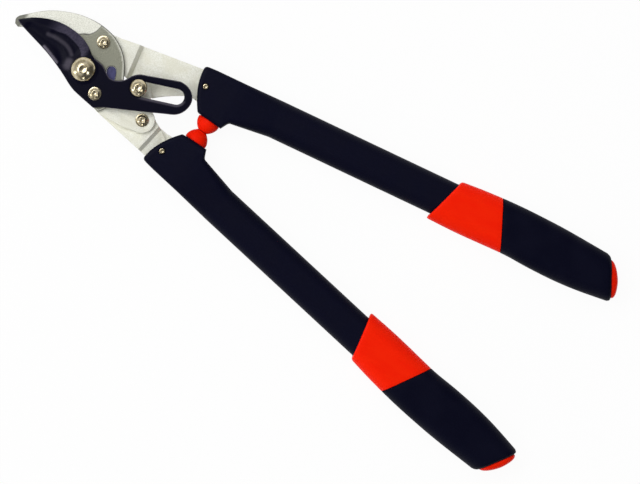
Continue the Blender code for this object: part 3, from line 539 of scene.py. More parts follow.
# %% Round the edges of a part
def is_fold(edge):
    """Whether a level face and a sloping one meet at an edge, as where a plate is bent."""
    tilts = sorted(abs(face.normal.z) for face in edge.link_faces)
    return tilts[1] > 0.99 and 0.15 < tilts[0] < 0.95 and edge.calc_length() > 8 * MM


def round_off(mesh, edges, radius, steps):
    """Round edges of a bmesh by a radius in millimetres."""
    bmesh.ops.bevel(mesh, geom=edges, offset=radius * MM, offset_type="OFFSET", segments=steps,
                    profile=0.5, affect="EDGES", clamp_overlap=True)


def finished(mesh, name):
    """Turn a bmesh's faces outwards and make it a mesh."""
    bmesh.ops.recalc_face_normals(mesh, faces=mesh.faces[:])
    data = bpy.data.meshes.new(name)
    mesh.to_mesh(data)
    mesh.free()
    return data


def with_round_edges(mesh, radius, sharper_than):
    """Round a bmesh's sharp edges and make it a mesh."""
    sharp = [edge for edge in mesh.edges
             if len(edge.link_faces) == 2 and edge.calc_face_angle(0) > math.radians(sharper_than)]
    round_off(mesh, sharp, radius, 2)
    data = finished(mesh, "rounded")
    if "custom_normal" in data.attributes:
        data.attributes.remove(data.attributes["custom_normal"])
    return data


def rounded_copy(node, radius, bend):
    """The node's mesh with joined corners and rounded edges; bend is the radius of its folds."""
    mesh = bmesh.new()
    mesh.from_mesh(frame["nodes"][node].data)
    bmesh.ops.remove_doubles(mesh, verts=mesh.verts[:], dist=2e-6)
    bmesh.ops.dissolve_limit(mesh, angle_limit=math.radians(1.5), verts=mesh.verts[:], edges=mesh.edges[:])
    if bend:
        folds = [edge for edge in mesh.edges if len(edge.link_faces) == 2 and is_fold(edge)]
        round_off(mesh, folds, bend, 4)
    return with_round_edges(mesh, radius, 30)


TANG_BEND = 1.5
for node, slot, radius, bend in (
        ("upper_tang", "zinc_plated_steel", 0.14, TANG_BEND),
        ("lower_tang", "zinc_plated_steel", 0.14, TANG_BEND),
        ("link", "zinc_plated_steel", 0.14, 0), ("slide_sleeve", "zinc_plated_steel", 0.15, 0),
        ("main_nut", "nickel_plated_steel", 0.14, 0), ("slide_nut", "nickel_plated_steel", 0.14, 0),
        ("hook_nut", "nickel_plated_steel", 0.12, 0), ("link_nut", "nickel_plated_steel", 0.12, 0),
        ("main_washer", "nickel_plated_steel", 0.15, 0),
        ("upper_rivet", "nickel_plated_steel", 0.12, 0), ("lower_rivet", "nickel_plated_steel", 0.12, 0),
        ("upper_core_tube", "bare_aluminium", 0.15, 0), ("lower_core_tube", "bare_aluminium", 0.15, 0)):
    hand_over(rounded_copy(node, radius, bend), node, slot)

# %% [markdown]
# ## Curves in plan
#
# Blade and hook are drawn as outlines in plan. A few points with a smooth curve through them give
# the long sweeps, and arcs give the round ends.

# %% Plan curves
def polar(centre, radius, degrees):
    angle = math.radians(degrees)
    return (centre[0] + radius * math.cos(angle), centre[1] + radius * math.sin(angle))


def bearing(centre, point):
    """Direction from one point to another, in degrees."""
    return math.degrees(math.atan2(point[1] - centre[1], point[0] - centre[0]))


def arc(centre, radius, start, end, step=6):
    count = max(2, math.ceil(abs(end - start) / step))
    return [polar(centre, radius, start + (end - start) * i / count) for i in range(count + 1)]


def circle(centre, radius, step):
    """A closed ring with a point every so many degrees."""
    return arc(centre, radius, 0, 360 - step, step)


def curve(points, pieces=3):
    """A smooth curve through the points."""
    padded = [points[0]] + list(points) + [points[-1]]
    result = []
    for a, b, c, d in zip(padded, padded[1:], padded[2:], padded[3:]):
        for i in range(pieces):
            t = i / pieces
            result.append(tuple(
                0.5 * (2 * q + (r - p) * t + (2 * p - 5 * q + 4 * r - s) * t * t
                       + (3 * q - p - 3 * r + s) * t ** 3)
                for p, q, r, s in zip(a, b, c, d)))
    return result + [points[-1]]


SAME_POINT = 0.05


def joined(*stretches):
    """One closed outline from its stretches, without doubled points."""
    points = []
    for stretch in stretches:
        for point in stretch:
            if not points or math.dist(points[-1], point) > SAME_POINT:
                points.append(point)
    if math.dist(points[0], points[-1]) <= SAME_POINT:
        points.pop()
    return points


def spaced(points, step, closed=True):
    """The same line with a point at least every so many millimetres."""
    result = []
    ends = points[1:] + points[:1] if closed else points[1:]
    for here, there in zip(points, ends):
        count = max(1, math.ceil(math.dist(here, there) / step))
        result += [(here[0] + (there[0] - here[0]) * i / count, here[1] + (there[1] - here[1]) * i / count)
                   for i in range(count)]
    return result if closed else result + [points[-1]]


BLADE_BACK = ((-116.0, -9.0), (-111.3, -11.1), (-100, -13.8), (-80, -18.5), (-62, -24.7),
              (-47, -31.2), (-36, -33.3), (-22.2, -35.1))
BLADE_TOE = ((-19.2, -32.6), (-15.1, -29.7))
BLADE_ARM = ((12, -15.6), (31.0, -5.3), (34.7, -3.4), (37.8, -1.5), (40.3, 0.9), (42.2, 3.8), (43.5, 7.3),
             (44.1, 11.0), (43.8, 14.5), (42.6, 17.8), (40.3, 20.7), (37.2, 22.9), (33.6, 24.2), (29.8, 24.7),
             (26.4, 24.3), (22.9, 22.9), (-0.2, 12.6))
BLADE_WAIST = ((-0.2, 12.6), (-5.7, 10.0), (-10.1, 5.3), (-13.6, -1.2), (-18.6, -5.3),
               (-24.2, -6.8), (-29.2, -4.8), (-35.5, -1.3), (-44, -0.3))
CUTTING_EDGE = ((-48.0, 1.2), (-54.1, 5.3), (-61.9, 8.5), (-70, 9.7), (-79, 9.7), (-88.1, 8.1),
                (-97.3, 4.7), (-107.4, -1.2), (-116.0, -9.0))
SLOT_START = (0.1, -0.3)
SLOT_END = (30.5, 11.8)
SLOT_HALF = 6.59
blade_edge = joined(curve(CUTTING_EDGE))
rest_of_outline = joined(curve(BLADE_BACK), BLADE_TOE, curve(BLADE_ARM), curve(BLADE_WAIST))
blade_outline = joined(rest_of_outline, blade_edge)
slot_way = bearing(SLOT_START, SLOT_END)
blade_slot = joined(arc(SLOT_START, SLOT_HALF, slot_way + 270, slot_way + 90),
                    arc(SLOT_END, SLOT_HALF, slot_way + 90, slot_way - 90))
print("blade outline %d points, slot %d points" % (len(blade_outline), len(blade_slot)))

# %% [markdown]
# ## A plate with a worked face
#
# Forging, grinding and tumbling give blade and hook faces that rise and fall by tenths of a
# millimetre: a bevel, a hollow, a boss round the bolt, rolled edges. That is hard to model by hand
# but easy to write down as a height for every point in plan. So a plate is made as a fine net of
# triangles inside its outline and round its holes, each vertex is lifted to its height, and the
# underside is the same net laid flat. Extra rows of points follow the edges, where the surface
# curves fastest.

# %% Distances in plan
def away(points, line, closed=True):
    """Distance of many points from a line."""
    points = np.asarray(points, float)
    line = np.asarray(line, float)
    ends = np.roll(line, -1, axis=0) if closed else line[1:]
    starts = line if closed else line[:-1]
    best = np.full(len(points), 1e9)
    for a, b in zip(starts, ends):
        along = b - a
        share = np.clip(((points - a) @ along) / max(along @ along, 1e-12), 0, 1)
        best = np.minimum(best, np.hypot(*(points - a - share[:, None] * along).T))
    return best


def inside(points, loop):
    """Which points lie inside a closed loop."""
    x, y = np.asarray(points, float).T
    result = np.zeros(len(x), bool)
    for (ax, ay), (bx, by) in zip(loop, loop[1:] + loop[:1]):
        if ay != by:
            result ^= ((ay > y) != (by > y)) & (x < (bx - ax) * (y - ay) / (by - ay) + ax)
    return result


def eased(value, low, high):
    """0 below low, 1 above high and a smooth rise between."""
    share = np.clip((value - low) / (high - low), 0, 1)
    return share * share * (3 - 2 * share)


def beside_line(points, line, near, far):
    """1 on a smooth line and 0 beyond a distance from it."""
    return 1.0 - eased(away(points, curve(line), closed=False), near, far)


def rolled(distance, radius):
    """How far a rounded edge falls at a distance from it."""
    inside_edge = np.clip(radius - distance, 0, radius)
    return radius - np.sqrt(np.maximum(radius ** 2 - inside_edge ** 2, 0))


print("the slot's middle lies", round(float(away([SLOT_START], blade_slot)[0]), 2), "mm from its wall")

# %% A net of triangles with heights
EDGE_STEP = 0.9
ROW_HEIGHT = 0.866


def offset_line(loop, amount, keep):
    """Points beside a loop, on the side that keep accepts and not too near any other edge."""
    loop = np.asarray(loop, float)
    way = np.roll(loop, -1, axis=0) - np.roll(loop, 1, axis=0)
    way /= np.maximum(np.hypot(*way.T), 1e-9)[:, None]
    normal = np.stack([-way[:, 1], way[:, 0]], 1)
    both = np.concatenate([loop + normal * amount, loop - normal * amount])
    return both[keep(both, 0.93 * amount)]


def worked_plate(outline, holes, top, bottom, grid, rows, extra):
    """A bmesh of a plate whose upper face follows top(points), with rows of points along its edges."""
    loops = [spaced(line, EDGE_STEP) for line in (outline, *holes)]

    def on_plate(points):
        good = inside(points, loops[0])
        for hole in loops[1:]:
            good &= ~inside(points, hole)
        return good

    def keep(points, clear):
        good = on_plate(points)
        for loop in loops:
            good &= away(points, loop) >= clear
        return good

    low, high = np.min(outline, 0), np.max(outline, 0)
    net = np.array([(x + (j % 2) * grid / 2, y)
                    for j, y in enumerate(np.arange(low[1], high[1], grid * ROW_HEIGHT))
                    for x in np.arange(low[0], high[0], grid)])
    marks = [np.asarray(line, float) for line in extra]
    groups = loops + [line[keep(line, 0.2)] for line in marks]
    groups += [offset_line(loop, row, keep) for loop in loops for row in rows]
    groups.append(net[keep(net, rows[-1] + 0.5 * grid)])
    fixed = []
    for loop in loops:
        begin = len(fixed)
        fixed += [(begin + i, begin + (i + 1) % len(loop)) for i in range(len(loop))]
    corners = [Vector(point) for group in groups for point in group]
    found, _, triangles, *_ = delaunay_2d_cdt(corners, fixed, [], 0, 1e-4)
    plan = np.array([tuple(point) for point in found])
    triangles = np.array(triangles)
    mesh = bmesh.new()
    upper = [mesh.verts.new(at(x, y, z)) for (x, y), z in zip(plan, top(plan))]
    lower = [mesh.verts.new(at(x, y, bottom)) for x, y in plan]
    for a, b, c in triangles[on_plate(plan[triangles].mean(1))]:
        mesh.faces.new((upper[a], upper[b], upper[c]))
        mesh.faces.new((lower[c], lower[b], lower[a]))
    twin = dict(zip(upper, lower))
    for edge in [edge for edge in mesh.edges if len(edge.link_faces) == 1]:
        a, b = edge.verts
        if a in twin:
            mesh.faces.new((a, b, twin[b], twin[a]))
    for vert in [vert for vert in mesh.verts if not vert.link_faces]:
        mesh.verts.remove(vert)
    mesh.normal_update()
    return mesh


def marked_plate(mesh, node, slot, marks):
    """Hand a plate over with its marks, which marks(points) gives by name for points in plan."""
    data = finished(mesh, node + "_fine")
    plan = np.array([tuple(vert.co)[:2] for vert in data.vertices]) / MM - np.array([TOOL.x, TOOL.y])
    for name, values in marks(plan).items():
        data.attributes.new(name, "FLOAT", "POINT").data.foreach_set("value", values.astype(np.float32))
    hand_over(data, node, slot, 50)


print("points lie at least every", EDGE_STEP, "mm along a plate's edges")

# %% [markdown]
# ## The blade
#
# The blade is one forging with its slotted arm. Along the convex edge runs a ground bevel, seven or
# eight millimetres wide, that runs out towards the tip. Behind it lie two shallow hollows with a soft
# ridge between them, which save weight and let the blade slip through wood. Ridge, back, the slot's
# lower rim and the edges carry painted highlights, and one more lies beside the boss. Round the main
# bolt stands a low boss, the slot has well rounded rims, and the back edge is rolled.

# %% Blade face
BAND_EDGE = ((-97, -2.4), (-89, 0.1), (-82, 1.6), (-76.0, 3.2), (-69, 2.6), (-62, 0.9), (-57.7, -1.4),
             (-54.6, -4.8))
NEAR_HOLLOW = ((-84, -1.5), (-78, 0.0), (-69.4, 0.3), (-62.6, -1.9), (-58.6, -4.6))
# Painted highlights follow the ridge line, the back line and the line beside the boss.
RIDGE_HIGHLIGHT = ((-88, -5.0), (-80, -3.7), (-71.5, -3.9), (-66.0, -5.6), (-62.0, -8.4))
FAR_HOLLOW = ((-104, -8.4), (-94, -8.2), (-85, -8.6), (-77, -9.6), (-71, -12.4), (-66, -16.8))
BACK_HIGHLIGHT = ((-85, -15.4), (-80, -16.8), (-74, -18.8), (-69, -20.5))
BOSS_HIGHLIGHT = ((-60.6, -14.0), (-60.0, -18.5))
BEVEL_WIDTHS = ((-116, 0.35), (-106, 2.6), (-97, 5.4), (-89, 6.8), (-82, 7.8), (-76, 7.2), (-69, 7.6),
                (-62, 8.2), (-57.7, 7.6), (-51, 2.6), (-48, 0.5))
BEVEL_FALL, NEAR_DEEP, FAR_DEEP = 3.2, 0.7, 1.1
BOSS, BOSS_RISE = 12.6, 0.7
BOSS_TOP, BOSS_FOOT = BOSS - 1.6, BOSS + 0.2
MAIN_HOLE, PIN_HOLE, HOOK_HOLE = 5.3, 3.0, 3.3
blade_bottom = level(4)
blade_top = blade_bottom + BLADE_THICK


def bevel_width(x):
    """Width of the ground bevel along the cutting edge; it runs out at both ends."""
    return np.interp(x, *zip(*BEVEL_WIDTHS))


def blade_face(points):
    """Height of the blade's upper face."""
    from_edge = away(points, blade_edge, closed=False)
    from_rest = away(points, rest_of_outline, closed=False)
    from_slot = away(points, blade_slot)
    from_main = np.hypot(*(points - np.array(MAIN)).T)
    from_pin = np.hypot(*(points - np.array(PIN)).T)
    width = bevel_width(points[:, 0])
    fall = BEVEL_FALL * np.clip(1 - from_edge / width, 0, 1)
    hollow = NEAR_DEEP * beside_line(points, NEAR_HOLLOW, 0.6, 4.2)
    hollow += FAR_DEEP * beside_line(points, FAR_HOLLOW, 0.4, 5.0)
    hollow *= eased(from_main, BOSS, BOSS + 4) * eased(from_edge, width * 0.95, width + 1.2)
    boss = BOSS_RISE * (1 - eased(from_main, BOSS_TOP, BOSS_FOOT))
    fall += hollow - boss
    fall += rolled(from_rest, 0.9) + rolled(from_slot, 1.4) + rolled(from_pin - PIN_HOLE, 0.3)
    return blade_top - fall


def blade_marks(points):
    """Where the coat is ground off, and where highlights are painted on it."""
    x, y = points.T
    line = np.array(curve(BAND_EDGE))
    band = eased(y - np.interp(x, line[:, 0], line[:, 1]), -0.5, 0.4)
    band *= eased(x, -95, -76) * (1 - eased(x, -55.0, -50.0))
    way = math.radians(slot_way)
    below = (x - SLOT_START[0]) * math.sin(way) - (y - SLOT_START[1]) * math.cos(way)
    # Painted highlights: on the slot's lower rim, along the edges, and as streaks on the ridge, along the
    # back and beside the boss.
    slot_rim_highlight = (1 - eased(away(points, blade_slot), 1.2, 2.6)) * eased(below, 1, 5) * eased(x, 3, 9)
    rim = 1 - eased(away(points, rest_of_outline, closed=False), 0.2, 0.7)
    highlight_share = np.maximum.reduce([0.27 * beside_line(points, RIDGE_HIGHLIGHT, 0.2, 2.8),
                                beside_line(points, BACK_HIGHLIGHT, 0.2, 1.8),
                                0.45 * beside_line(points, BOSS_HIGHLIGHT, 0.2, 5.0),
                                0.45 * slot_rim_highlight,
                                (0.15 + 0.6 * eased(y, -14, -8)) * rim])
    return {"bevel": band, "polish": highlight_share}


def blade_piece():
    holes = [blade_slot, circle(PIN, PIN_HOLE, 15), circle(MAIN, MAIN_HOLE, 12)]
    edge = spaced(blade_edge, EDGE_STEP, closed=False)
    beside = []
    for before, here, after in zip(edge, edge[1:], edge[2:]):
        way = bearing(before, after)
        beside += [polar(here, share * float(bevel_width(here[0])), way + 90) for share in (0.96, 1.04)]
    rim = circle(MAIN, BOSS_TOP, 3) + circle(MAIN, BOSS_FOOT, 3)
    mesh = worked_plate(blade_outline, holes, blade_face, blade_bottom, 1.0, (0.2, 0.5, 0.9, 1.5),
                        (beside, rim))
    marked_plate(mesh, "blade", "coated_steel", blade_marks)


blade_piece()

# %% [markdown]
# ## The hook
#
# The hook is stamped from flat plate. Its working half is ground thinner in a broad hollow that ends
# in a curved step just before the hook's bolt, and an arc slot lets the blade's pin swing.

# %% Hook face
HOOK_NOSE = ((-116.3, -12.9),)
HOOK_MOUTH = ((-112.8, -14.0), (-104, -9.2), (-94, -4.9), (-84, -2.6), (-74, -3.2), (-66, -6.6), (-62, -12))
HOOK_LOW = ((-62, -12), (-60, -19), (-54, -25.6), (-45, -30.2), (-33, -32.7), (-20.5, -35.0))
HOOK_BACK = ((-15.5, 1.2), (-20.9, 10.0), (-28.0, 17.5), (-39.8, 24.2), (-53.5, 26.5),
             (-65.9, 25.7), (-80.4, 21.8), (-98.8, 12.0), (-113.7, -2.3), (-117.3, -6.4),
             (-118.0, -9.6))
GROUND_END = ((-69, 7.5), (-64.1, 11.6), (-59.9, 14.1), (-57, 17.7), (-55.6, 21.3), (-54.9, 25.6),
              (-54.7, 30))
PIN_SLOT_INNER = math.dist(MAIN, PIN) - PIN_HOLE
PIN_SLOT_OUTER = 27.8
PIN_SLOT_TOP = 31.0
HOOK_ROUND = 37.6
hook_outline = joined(HOOK_NOSE, curve(HOOK_MOUTH), curve(HOOK_LOW), arc(MAIN, HOOK_ROUND, -37, 6),
                      curve(HOOK_BACK))
slot_middle, slot_half = (PIN_SLOT_INNER + PIN_SLOT_OUTER) / 2, (PIN_SLOT_OUTER - PIN_SLOT_INNER) / 2
pin_low, pin_high = bearing(MAIN, PIN), PIN_SLOT_TOP
pin_slot = joined(arc(MAIN, PIN_SLOT_OUTER, pin_low, pin_high),
                  arc(polar(MAIN, slot_middle, pin_high), slot_half, pin_high, pin_high + 180, 15),
                  arc(MAIN, PIN_SLOT_INNER, pin_high, pin_low),
                  arc(polar(MAIN, slot_middle, pin_low), slot_half, pin_low + 180, pin_low + 360, 15))
hook_bottom = level(3)


def ground_share(points):
    """How much of the belt's grinding a point of the hook has seen."""
    line = np.array(curve(GROUND_END, 4))
    reach = np.interp(points[:, 1], line[:, 1], line[:, 0])
    return 1 - eased(points[:, 0] - reach, -0.5, 0.4)


def groove_share(points):
    """1 in the fine groove along the end of the grinding."""
    return 1 - eased(away(points, curve(GROUND_END, 4), closed=False), 0.15, 0.55)


def painted_shade_share(points):
    """1 where shade is painted: groove, edges, nose, the pin slot's upper end and the blade's shadow."""
    x, y = points.T
    # Painted shade: a contact shadow along the edges, a darker rounded nose, the blade's shadow at its waist
    # and shade round the pin slot's upper end.
    rim = 1 - eased(away(points, hook_outline), 0.3, 0.6)
    rim *= (0.3 + 0.7 * eased(x, -75, -50)) * eased(y, -30, -20)
    nose_shade = 0.6 * (1 - eased(x, -113.0, -110.0))
    blade_shadow = 0.8 * beside_line(points, BLADE_WAIST, 0.45, 0.8)
    slot_end = 0.9 * (1 - eased(away(points, pin_slot), 0.3, 0.7)) * eased(y, -9, -4)
    return np.maximum.reduce([groove_share(points), rim, nose_shade, blade_shadow, slot_end])


def hook_marks(points):
    """Where the hook is ground bright or has a painted highlight, and where shade is painted."""
    x = points[:, 0]
    from_rim = away(points, hook_outline)
    # Painted highlight: a bright band just inside the edge towards the handles, added to the ground mark.
    painted_edge_highlight = eased(from_rim, 0.5, 0.8) * (1 - eased(from_rim, 1.1, 1.7)) * eased(x, -60, -45)
    ground = np.maximum(ground_share(points) * eased(x, -113.5, -109.5), 0.6 * painted_edge_highlight)
    return {"ground": ground, "grime": painted_shade_share(points)}


def hook_face(points):
    """Height of the hook's upper face, which falls at its edges, its ground half and its nose."""
    fall = rolled(away(points, hook_outline), 0.5) + rolled(away(points, pin_slot), 0.4)
    fall += 0.35 * ground_share(points) + 0.15 * groove_share(points)
    fall += 0.8 * (1 - eased(points[:, 0], -118.5, -112.5))
    return hook_bottom + PLATE - fall


def hook_piece():
    holes = [pin_slot, circle(MAIN, MAIN_HOLE, 12), circle(HOOK_JOINT, HOOK_HOLE, 15)]
    beside = [(x + dx, y) for x, y in curve(GROUND_END, 12) for dx in (-0.55, -0.05, 0.45)]
    beside += [(x, y + dy) for x, y in curve(BLADE_WAIST, 12) for dy in (0.45, 0.85)]
    mesh = worked_plate(hook_outline, holes, hook_face, hook_bottom, 1.3, (0.18, 0.35, 0.65, 1.1),
                        (beside,))
    marked_plate(mesh, "hook", "hook_steel", hook_marks)


hook_piece()

# %% [markdown]
# ## The stop in the hook's slot
#
# A nylon block fills the end of the slot that the pin comes up against when the tool is wide open. It
# has a flange that fills the slot from wall to wall and a narrower block above it, which leaves a
# shaded step on the inner side. It is made as a stack of rings with faces from ring to ring, as are
# the bolts and mouldings after it, so one function does that for all of them.

# %% Rings to faces
def over_rings(rings, ends):
    """A bmesh laid over rings of points, whose ends get caps, meet each other or are tips."""
    mesh = bmesh.new()
    loops = [[mesh.verts.new(point) for point in ring] for ring in rings]
    for near, far in zip(loops, loops[1:] + (loops[:1] if ends == "meet" else [])):
        around = max(len(near), len(far))
        for i in range(around):
            j = (i + 1) % around
            corners = (near[i % len(near)], near[j % len(near)], far[j % len(far)], far[i % len(far)])
            mesh.faces.new(list(dict.fromkeys(corners)))
    if ends == "caps":
        mesh.faces.new(loops[0][::-1])
        mesh.faces.new(loops[-1])
    return mesh

# %% Stop
OPENING = 60.0
BLADE_FOLLOWS = 0.582
FLANGE_THICK, FLANGE_CLEAR = 1.7, 0.12
BLOCK_WIDE = 6.2
STOP_STEPS = 10


def stop_piece():
    start = pin_low + OPENING * BLADE_FOLLOWS + math.degrees(PIN_HOLE / math.dist(MAIN, PIN))
    rings = []
    for inner, outer, low, high in (
            (PIN_SLOT_INNER + FLANGE_CLEAR, PIN_SLOT_OUTER - FLANGE_CLEAR, 0.0, FLANGE_THICK),
            (PIN_SLOT_OUTER - GAP - BLOCK_WIDE, PIN_SLOT_OUTER - GAP, FLANGE_THICK, PLATE)):
        half = (outer - inner) / 2
        turn = [i / STOP_STEPS for i in range(STOP_STEPS + 1)]
        block = [polar(MAIN, outer, start + (pin_high - start) * part) for part in turn]
        block += [polar(polar(MAIN, outer - half, pin_high), half, pin_high + 180 * part)
                  for part in turn[1:-1]]
        block += [polar(MAIN, inner, pin_high + (start - pin_high) * part) for part in turn]
        rings += [[at(x, y, hook_bottom + height) for x, y in block] for height in (low, high)]
    hand_over(with_round_edges(over_rings(rings, "caps"), 0.3, 50), "pin_stop", "blue_nylon")


stop_piece()

# %% [markdown]
# ## Bolts
#
# The bolts have domed heads with a hexagonal recess. They are turned: rings of points stacked up the
# axis. To get from the round dome to the six-sided recess without a messy cut, every ring has the
# same number of points, and the rings round the recess are hexagons with that many points on their
# sides.

# %% Domed heads with a hexagonal recess
AROUND = 72
DOME_STEPS = 14


def ring_points(radius, sixth=0.0):
    """A ring of points; sixth is 0 for a circle and 1 for a hexagon of that corner radius."""
    points = []
    for i in range(AROUND):
        angle = 2 * math.pi * i / AROUND
        part = (angle + math.pi / 6) % (math.pi / 3) - math.pi / 6
        flat = math.cos(math.pi / 6) / math.cos(abs(part) - math.pi / 6) if sixth else 1.0
        reach = radius * (1 + sixth * (flat - 1))
        points.append((reach * math.cos(angle), reach * math.sin(angle)))
    return points


def turned_bolt(node, centre, rings):
    """A bolt from (radius, height, sixth) rings, closed at both ends."""
    points = [[at(centre[0] + x, centre[1] + y, height) for x, y in ring_points(radius, sixth)]
              for radius, height, sixth in rings]
    hand_over(finished(over_rings(points, "caps"), node + "_fine"), node, "nickel_plated_steel", 32)


def domed_rings(radius, bottom, height, key, depth):
    """A domed head with a rounded rim, and its recess."""
    rim = 0.2 * height
    rise = height - rim
    ball = (radius ** 2 + rise ** 2) / (2 * rise)
    centre = bottom + height - ball
    widest = math.asin(radius / ball)
    lip = key + 0.45
    narrow = math.asin(lip / ball)
    rings = [(radius - 0.35, bottom, 0), (radius - 0.1, bottom + 0.1, 0), (radius, bottom + 0.35, 0),
             (radius, bottom + rim - 0.15, 0)]
    for i in range(1, DOME_STEPS + 1):
        angle = widest * 0.985 + (narrow - widest * 0.985) * i / DOME_STEPS
        rings.append((ball * math.sin(angle), centre + ball * math.cos(angle), 0.0))
    top = rings[-1][1]
    rings += [(key + 0.2, top - 0.03, 0.75), (key + 0.05, top - 0.14, 0.95), (key, top - 0.35, 1.0),
              (key, top - depth + 0.15, 1.0), (key - 0.2, top - depth, 1.0), (0.8, top - depth - 0.25, 0.3),
              (0.15, top - depth - 0.45, 0.0)]
    return rings


def shank_rings(radius, foot, under):
    return [(radius - 0.7, foot, 0), (radius - 0.2, foot + 0.2, 0), (radius, foot + 0.6, 0),
            (radius, under, 0)]


def small_rings(bottom):
    """A button head on a thin flange."""
    return ([(5.5, bottom, 0), (5.6, bottom + 0.12, 0), (5.6, bottom + 0.62, 0), (5.45, bottom + 0.8, 0)]
            + domed_rings(4.6, bottom + 0.8, 2.4, 2.0, 1.6)[1:])


print("a dome has", DOME_STEPS, "rings of", AROUND, "points")

# %% Five bolts
NUT_TALL, SMALL_NUT_TALL, STANDS_OUT = 3.2, 2.9, 0.8
SMALL_SHANK = 3.0
main_under = blade_top + BOSS_RISE + GAP
slide_under = blade_top + 2 * GAP
pin_under = blade_top + GAP
turned_bolt("main_bolt", MAIN, shank_rings(5.0, level(2) + GAP, main_under)
            + domed_rings(10.2, main_under, 6.2, 3.0, 2.6))
turned_bolt("slide_bolt", SLIDE, shank_rings(3.8, level(0) - GAP - NUT_TALL - STANDS_OUT, slide_under)
            + domed_rings(7.5, slide_under, 5.2, 2.5, 2.6))
for node, centre, nut_on, head_on in (("hook_bolt", HOOK_JOINT, 2, 4), ("link_bolt", LINK_JOINT, 1, 3)):
    foot = level(nut_on) - GAP - SMALL_NUT_TALL - STANDS_OUT
    turned_bolt(node, centre, shank_rings(SMALL_SHANK, foot, level(head_on)) + small_rings(level(head_on)))
turned_bolt("blade_pin", PIN, shank_rings(2.7, level(2), pin_under) + small_rings(pin_under))

# %% [markdown]
# ## Sections along a handle
#
# Ferrule, tube, collar, grip and cap are long mouldings. Each is a rounded rectangle whose four sizes
# change along the handle: how far it reaches inwards and outwards from the axis, half its height and
# the radius of its corners. So a moulding is a list of stations, and a skin is laid over their rings.
# The fine groove at half height is the parting line, where the two halves of the mould met.

# %% Rings across a handle
HANDLE_ANGLE = math.radians(8.76)
CROSSING_X = -171.8
PARTING, PARTING_HALF = 0.10, 0.35
CORNER_STEPS, FLAT_STEPS = 9, 10


def handle_point(side, along, out):
    """Plan point from a distance along a handle and one out from its axis."""
    return (CROSSING_X + along * math.cos(HANDLE_ANGLE) - out * math.sin(HANDLE_ANGLE),
            side * (along * math.sin(HANDLE_ANGLE) + out * math.cos(HANDLE_ANGLE)))


def quarter(centre, radius, start):
    return [polar(centre, radius, start + 90 * i / CORNER_STEPS) for i in range(CORNER_STEPS + 1)]


def section(inner, outer, half, corner):
    """Points (out, height) round a section, starting at half height on its outer side."""
    points = []
    for sign, near, far, turn in ((1, outer, inner, 0), (-1, inner, outer, 180)):
        height = sign * (half - corner)
        first = quarter((near - sign * corner, height), corner, turn)
        last = quarter((far + sign * corner, height), corner, turn + 90)
        start, end = first[-1][0], far + sign * corner
        flat = [(start + (end - start) * i / FLAT_STEPS, sign * half) for i in range(1, FLAT_STEPS)]
        points += [(near - sign * PARTING, 0.0), (near, sign * PARTING_HALF)] + first
        points += flat + last + [(far, sign * PARTING_HALF)]
    return points


def shrunk(shape, amount):
    """A section's four sizes, smaller all round."""
    inner, outer, half, corner = shape
    return (inner + amount, outer - amount, half - amount, max(0.4, corner - amount))


def rounding(along, shape, radius, forwards, steps=6):
    """Stations of a rounded end: (along, section), from its face to its full size, or back."""
    turns = [math.radians(90 * i / steps) for i in range(steps + 1)]
    stations = [(along + radius * (1 - math.cos(t)) * (1 if forwards else -1),
                 shrunk(shape, radius * (1 - math.sin(t)))) for t in turns]
    return stations if forwards else stations[::-1]


def skin(side, stations, ends):
    """A mesh over (along, section, bend) stations; bend moves points along by how far out they lie."""
    rings = [[at(*handle_point(side, along + bend(out), out), HANDLE_MID + height)
              for out, height in section(*shape)] for along, shape, bend in stations]
    return finished(over_rings(rings, ends), "skin")


def straight(out):
    return 0.0


def slant(amount):
    return lambda out: amount * out


print("a section has", len(section(-16, 16, 11, 10)), "points")

# %% [markdown]
# ## Ferrule and tube
#
# The ferrule's front is curved and rounded, its flank is flat where the bumper sits, and behind the
# bumper it steps in and flows into the tube. The socket for the tang and the bore for the metal tube
# are part of the same skin, which runs in at the front and comes out at the back. The rivet's hole and
# the hole for the bumper's stem are taken out of it afterwards.

# %% Handle body
FRONT = 212.4
FERRULE = 33.8
STEP = FRONT + FERRULE
STEP_BACK = STEP + 6.2
TUBE_START = FRONT + 73.8
FERRULE_OUT, FERRULE_HALF, FERRULE_CORNER, FRONT_ROUND = 15.1, 14.0, 3.6, 3.0
NECK = (-20.0, 15.6, 13.8, 4.2)
TUBE = (-16.2, 16.2, 11.6, 10.2)
WALL = 2.4
FACE_Y = 10.7
COLLAR_FRONT = 442.9
GRIP_FRONT = COLLAR_FRONT + 52.9
GRIP_END = GRIP_FRONT + 102.4
BODY_END = GRIP_END - 18.0 - GAP
SOCKET_END, TAPER_END = FRONT + 61.8, FRONT + 8.8
SOCKET_HALF = PLATE / 2 + GAP
SOCKET_NARROW, SOCKET_WIDE = (-11.3, 11.3, SOCKET_HALF, 0.5), (-15.3, 12.0, SOCKET_HALF, 0.5)
LOWER_LATER = 6.6
RIVET = (FRONT + 7.8, -0.8)
BUMPER_X = CROSSING_X + FRONT + 24.0


def later(side):
    """How much further back collar, grip and cap sit on the lower handle."""
    return LOWER_LATER if side < 0 else 0.0


def front_bend(share):
    """The curve of the ferrule's front, which falls back towards its inner side."""
    return lambda out: share * 0.0188 * max(0.0, 9.0 - out) ** 1.83


def bumper_edge(along, share):
    """How far out the ferrule reaches to meet the bumper's face, parallel to the tool's middle."""
    out = -25.0
    for _ in range(8):
        reach = along + front_bend(share)(out)
        out = (FACE_Y - reach * math.sin(HANDLE_ANGLE)) / math.cos(HANDLE_ANGLE)
    return out


